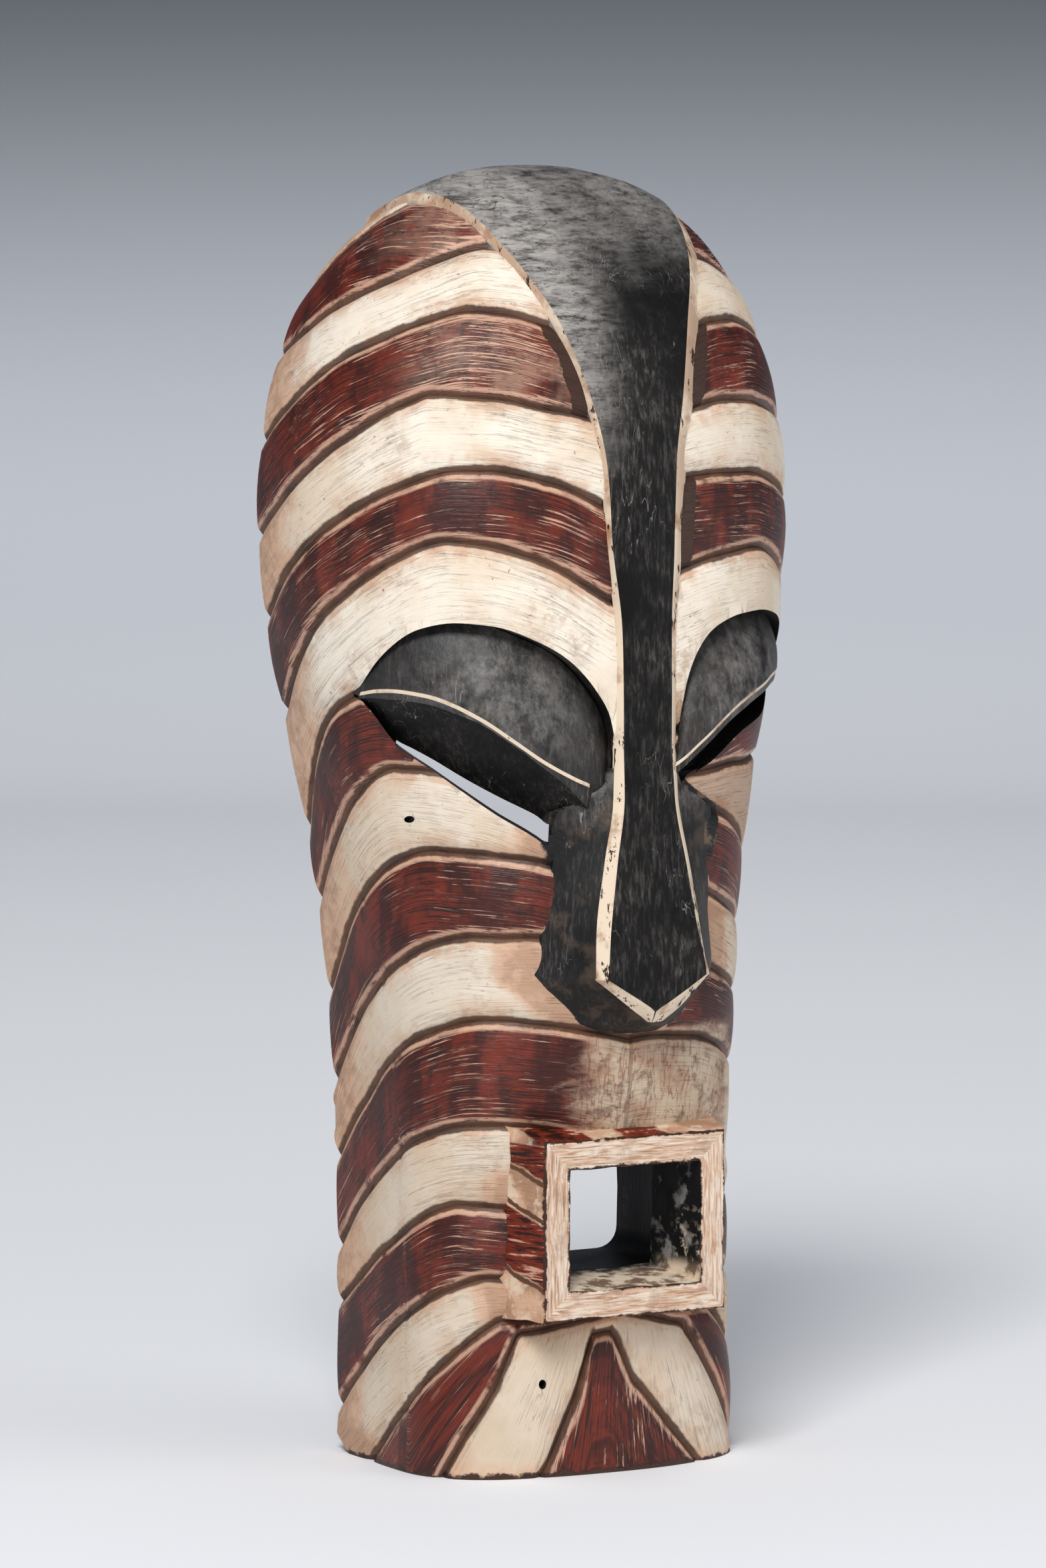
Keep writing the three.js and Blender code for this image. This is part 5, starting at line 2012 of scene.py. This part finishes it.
@dataclass
class Mask:
    """The whole mask: its parts carved together and painted."""

    head: Head = field(default_factory=Head)
    # Place across, height and radius.
    nail_holes: tuple[tuple[float, float, float], ...] = ((-78.4, 262.6, 1.1), (-32.3, 37.6, 1.5))
    hole_span: Span = (-6.0, 5.0)
    hole_corners: int = 12
    hole_stretch: float = 1.3
    sharp_edge: float = 38.0

    def nail_hole(self, x: float, z: float, radius: float) -> bpy.types.Object:
        """Build the cutter for an old nail hole.

        Args:
            x: its place across.
            z: its height.
            radius: its radius.

        Returns:
            The cutter.
        """
        y = float(self.head.front(np.array([x]), np.array([z]))[0])
        turn = np.linspace(0, 2 * math.pi, self.hole_corners + 1)[:-1]
        tall = self.hole_stretch * radius
        outline = [(x + radius * math.cos(a), z + tall * math.sin(a)) for a in turn]
        rings = [[(px, y + depth, pz) for px, pz in outline] for depth in self.hole_span]
        return Solid.loft("hole", np.array(rings), Region.HOLLOW)

    def carve(self) -> tuple[bpy.types.Object, dict[str, Array]]:
        """Carve the mask.

        Returns:
            The mask, and what is painted on its skin.
        """
        wood, painting = Skin(self.head).build()
        eyes = [Eye(self.head, LEFT_EYE, -1), Eye(self.head, RIGHT_EYE, 1)]
        for eye in eyes:
            Solid.combine(wood, eye.pocket(), Join.CUT)
            Solid.combine(wood, eye.lid(), Join.ADD)
        mouth = Mouth(self.head)
        hollow = Hollow(self.head)
        for part in (Nose(self.head).build(), Crest(self.head).build(), mouth.box()):
            Solid.combine(wood, part, Join.ADD)
        cutters = [hollow.cutter(), mouth.tunnel(), *(eye.opening_cut() for eye in eyes), *hollow.cuts()]
        cutters += [self.nail_hole(*hole) for hole in self.nail_holes]
        for cutter in cutters:
            Solid.combine(wood, cutter, Join.CUT)
        LOG.info("carved %d faces", len(wood.data.polygons))
        return wood, painting

    @staticmethod
    def store(wood: bpy.types.Object, painting: dict[str, Array]) -> None:
        """Store what is painted on the mesh's vertices.

        Args:
            wood: the mask.
            painting: the painting worked out for the skin.
        """
        points = painting["points"].reshape(-1, 3) * MM
        tree = KDTree(len(points))
        for i, point in enumerate(points):
            tree.insert(point, i)
        tree.balance()
        mesh = wood.data
        nearest = np.array([tree.find(v.co)[1] for v in mesh.vertices])
        scales = {"band": (1, 1, 1), "paint": (MM, MM, 1), "wear": (1, 1, 1), "stain_and_sheen": (1, 1, 1)}
        for name, scale in scales.items():
            values = painting[name].reshape(-1, 3)[nearest] * np.array(scale)
            layer = mesh.attributes.new(name, "FLOAT_VECTOR", "POINT")
            layer.data.foreach_set("vector", values.astype(np.float32).ravel())

    @staticmethod
    def dress(wood: bpy.types.Object) -> None:
        """Give each region its finish.

        Args:
            wood: the mask.
        """
        finishes = {
            Region.SKIN: BandedPaint(),
            # the crest's worn patch is grey brushing with a painted highlight at its upper left and top
            Region.CREST: BlackPaint("black_crest", rubbed=0.26, worn=True),
            Region.BEVEL: CreamTrim("cream_bevel", chips=0.5),
            Region.NOSE: BlackPaint("black_nose", 0.2, dusty=0.22, gloss=0.34, spot=(0.0215, 0.277, 0.02)),
            Region.MOUTH_FRONT: MouthFrame(),
            Region.MOUTH_SIDE: MouthSides(),
            Region.TUNNEL: TunnelPaint(),
            # the eye's painted sheen and spot lighten the middle of each socket: a painted sheen over rubbed
            # grey
            Region.EYE: BlackPaint(
                "black_eye", 0.2, dusty=0.08, painted_sheen=0.02, gloss=0.4, spot=(0.056, 0.313, 0.042)
            ),
            Region.LID_EDGE: CreamTrim("cream_lid", chips=0.1),
            Region.LEAF: BlackPaint("black_lid", rubbed=0.12),
            Region.HOLLOW: BlackPaint("black_inside", rubbed=0.1, gloss=0.1),
            Region.CUT: BareWood(),
        }
        for region, finish in finishes.items():
            wood.data.materials[region] = finish.material()

    def build(self) -> bpy.types.Object:
        """Build the mask in its place in the frame.

        Returns:
            The mask.
        """
        wood, painting = self.carve()
        wood.name = "carved_mask"
        self.store(wood, painting)
        wood.data.polygons.foreach_set("use_smooth", np.ones(len(wood.data.polygons), bool))
        wood.data.set_sharp_from_angle(angle=math.radians(self.sharp_edge))
        self.dress(wood)
        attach(wood, "root")
        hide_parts("mask")
        return wood


@dataclass(frozen=True)
class Lamp:
    """A soft square light: where it stands, how wide it is, its power in watts and what it faces."""

    name: str
    place: tuple[float, float, float]
    size: float
    power: float
    target: Optional[tuple[float, float, float]] = None


@dataclass
class Studio:
    """A pale sweep of paper, soft lights and the camera, in metres and degrees."""

    target: tuple[float, float, float] = (-0.018, 0.007, 0.2732)
    distance: float = 2.982
    azimuth: float = -30.0
    elevation: float = 4.5
    view_angle: float = 12.0
    sensor: float = 36.0
    near: float = -9.0
    wall: float = 4.2
    curve: float = 1.0
    curve_start: float = 0.1
    curve_steps: int = 16
    top: float = 6.0
    side: float = 8.0
    paper: Paint = (252, 253, 255)
    paper_shade_low: Paint = (232, 236, 242)
    paper_shade_high: Paint = (96, 100, 107)
    lamps: tuple[Lamp, ...] = (
        Lamp("key", (-1.6, -1.9, 2.5), 1.0, 84),
        Lamp("fill", (1.8, -2.2, 1.2), 1.8, 16),
        Lamp("wall_light", (0.9, 1.5, 3.0), 2.4, 30, (2.3, 3.9, 0.35)),
    )
    sky: tuple[float, float, float, float] = (0.86, 0.9, 1.0, 1.0)
    sky_strength: float = 0.3

    def shaded_paper(self) -> bpy.types.Material:
        """Build the paper's finish, with painted shade that darkens it up the wall.

        Returns:
            The material.
        """
        n = Nodes("paper")
        height = n.split(n.place())[2]
        # painted shade: the white paper greys above the floor and darkens up the wall
        low = n.cover(colour(*self.paper), self.paper_shade_low, n.above(height, -0.02, 0.2))
        return n.finish(n.cover(low, self.paper_shade_high, n.above(height, 0.16, 0.8)), 0.9)

    def backdrop(self) -> bpy.types.Object:
        """Build the sweep behind and under the mask.

        Returns:
            The sweep.
        """
        a = math.radians(self.azimuth)
        away = np.array([-math.sin(a), math.cos(a)])
        across = np.array([math.cos(a), math.sin(a)])
        bend = self.wall - self.curve
        profile = [(self.near, 0.0), (bend, 0.0)]
        for t in np.linspace(self.curve_start, math.pi / 2, self.curve_steps):
            profile.append((bend + self.curve * math.sin(t), self.curve * (1 - math.cos(t))))
        profile.append((self.wall, self.top))
        points, faces = [], []
        for distance, z in profile:
            for side in (-self.side, self.side):
                x, y = away * distance + across * side
                points.append((x, y, z))
        for i in range(len(profile) - 1):
            faces.append((2 * i, 2 * i + 1, 2 * i + 3, 2 * i + 2))
        mesh = bpy.data.meshes.new("sweep")
        mesh.from_pydata(points, [], faces)
        mesh.polygons.foreach_set("use_smooth", np.ones(len(faces), bool))
        mesh.materials.append(self.shaded_paper())
        sweep = bpy.data.objects.new("sweep", mesh)
        bpy.context.scene.collection.objects.link(sweep)
        return sweep

    def light(self, lamp: Lamp) -> None:
        """Add a soft light, which faces the mask if it names no target.

        Args:
            lamp: the light.
        """
        data = bpy.data.lights.new(lamp.name, "AREA")
        data.shape = "SQUARE"
        data.size = lamp.size
        data.energy = lamp.power
        thing = bpy.data.objects.new(lamp.name, data)
        thing.location = lamp.place
        way = Vector(lamp.target or self.target) - Vector(lamp.place)
        thing.rotation_euler = way.to_track_quat("-Z", "Y").to_euler()
        bpy.context.scene.collection.objects.link(thing)

    def camera(self) -> None:
        """Set the camera at the photo's angle."""
        a, e = math.radians(self.azimuth), math.radians(self.elevation)
        back = Vector((math.sin(a) * math.cos(e), -math.cos(a) * math.cos(e), math.sin(e)))
        data = bpy.data.cameras.new("camera")
        data.sensor_width = self.sensor
        data.lens = self.sensor / 2 / math.tan(math.radians(self.view_angle / 2))
        thing = bpy.data.objects.new("camera", data)
        thing.location = Vector(self.target) + back * self.distance
        thing.rotation_euler = (-back).to_track_quat("-Z", "Y").to_euler()
        bpy.context.scene.collection.objects.link(thing)
        bpy.context.scene.camera = thing

    def build(self) -> None:
        """Build the studio."""
        sweep = self.backdrop()
        sweep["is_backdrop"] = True
        for lamp in self.lamps:
            self.light(lamp)
        world = bpy.data.worlds.new("studio")
        world.use_nodes = True
        background = world.node_tree.nodes["Background"]
        background.inputs["Color"].default_value = self.sky
        background.inputs["Strength"].default_value = self.sky_strength
        bpy.context.scene.world = world
        bpy.context.scene.view_settings.view_transform = "Standard"
        self.camera()


def corners() -> list[list[float]]:
    """Measure the shown object's lowest and highest corner."""
    return [[float(v) for v in corner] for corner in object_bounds()]


def main() -> None:
    """Build the mask and its studio."""
    logging.basicConfig(level=logging.INFO, format="%(name)s: %(message)s")
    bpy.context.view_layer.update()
    noise.seed_set(NOISE_SEED)
    Mask().build()
    Studio().build()


if __name__ == "__main__":
    main()
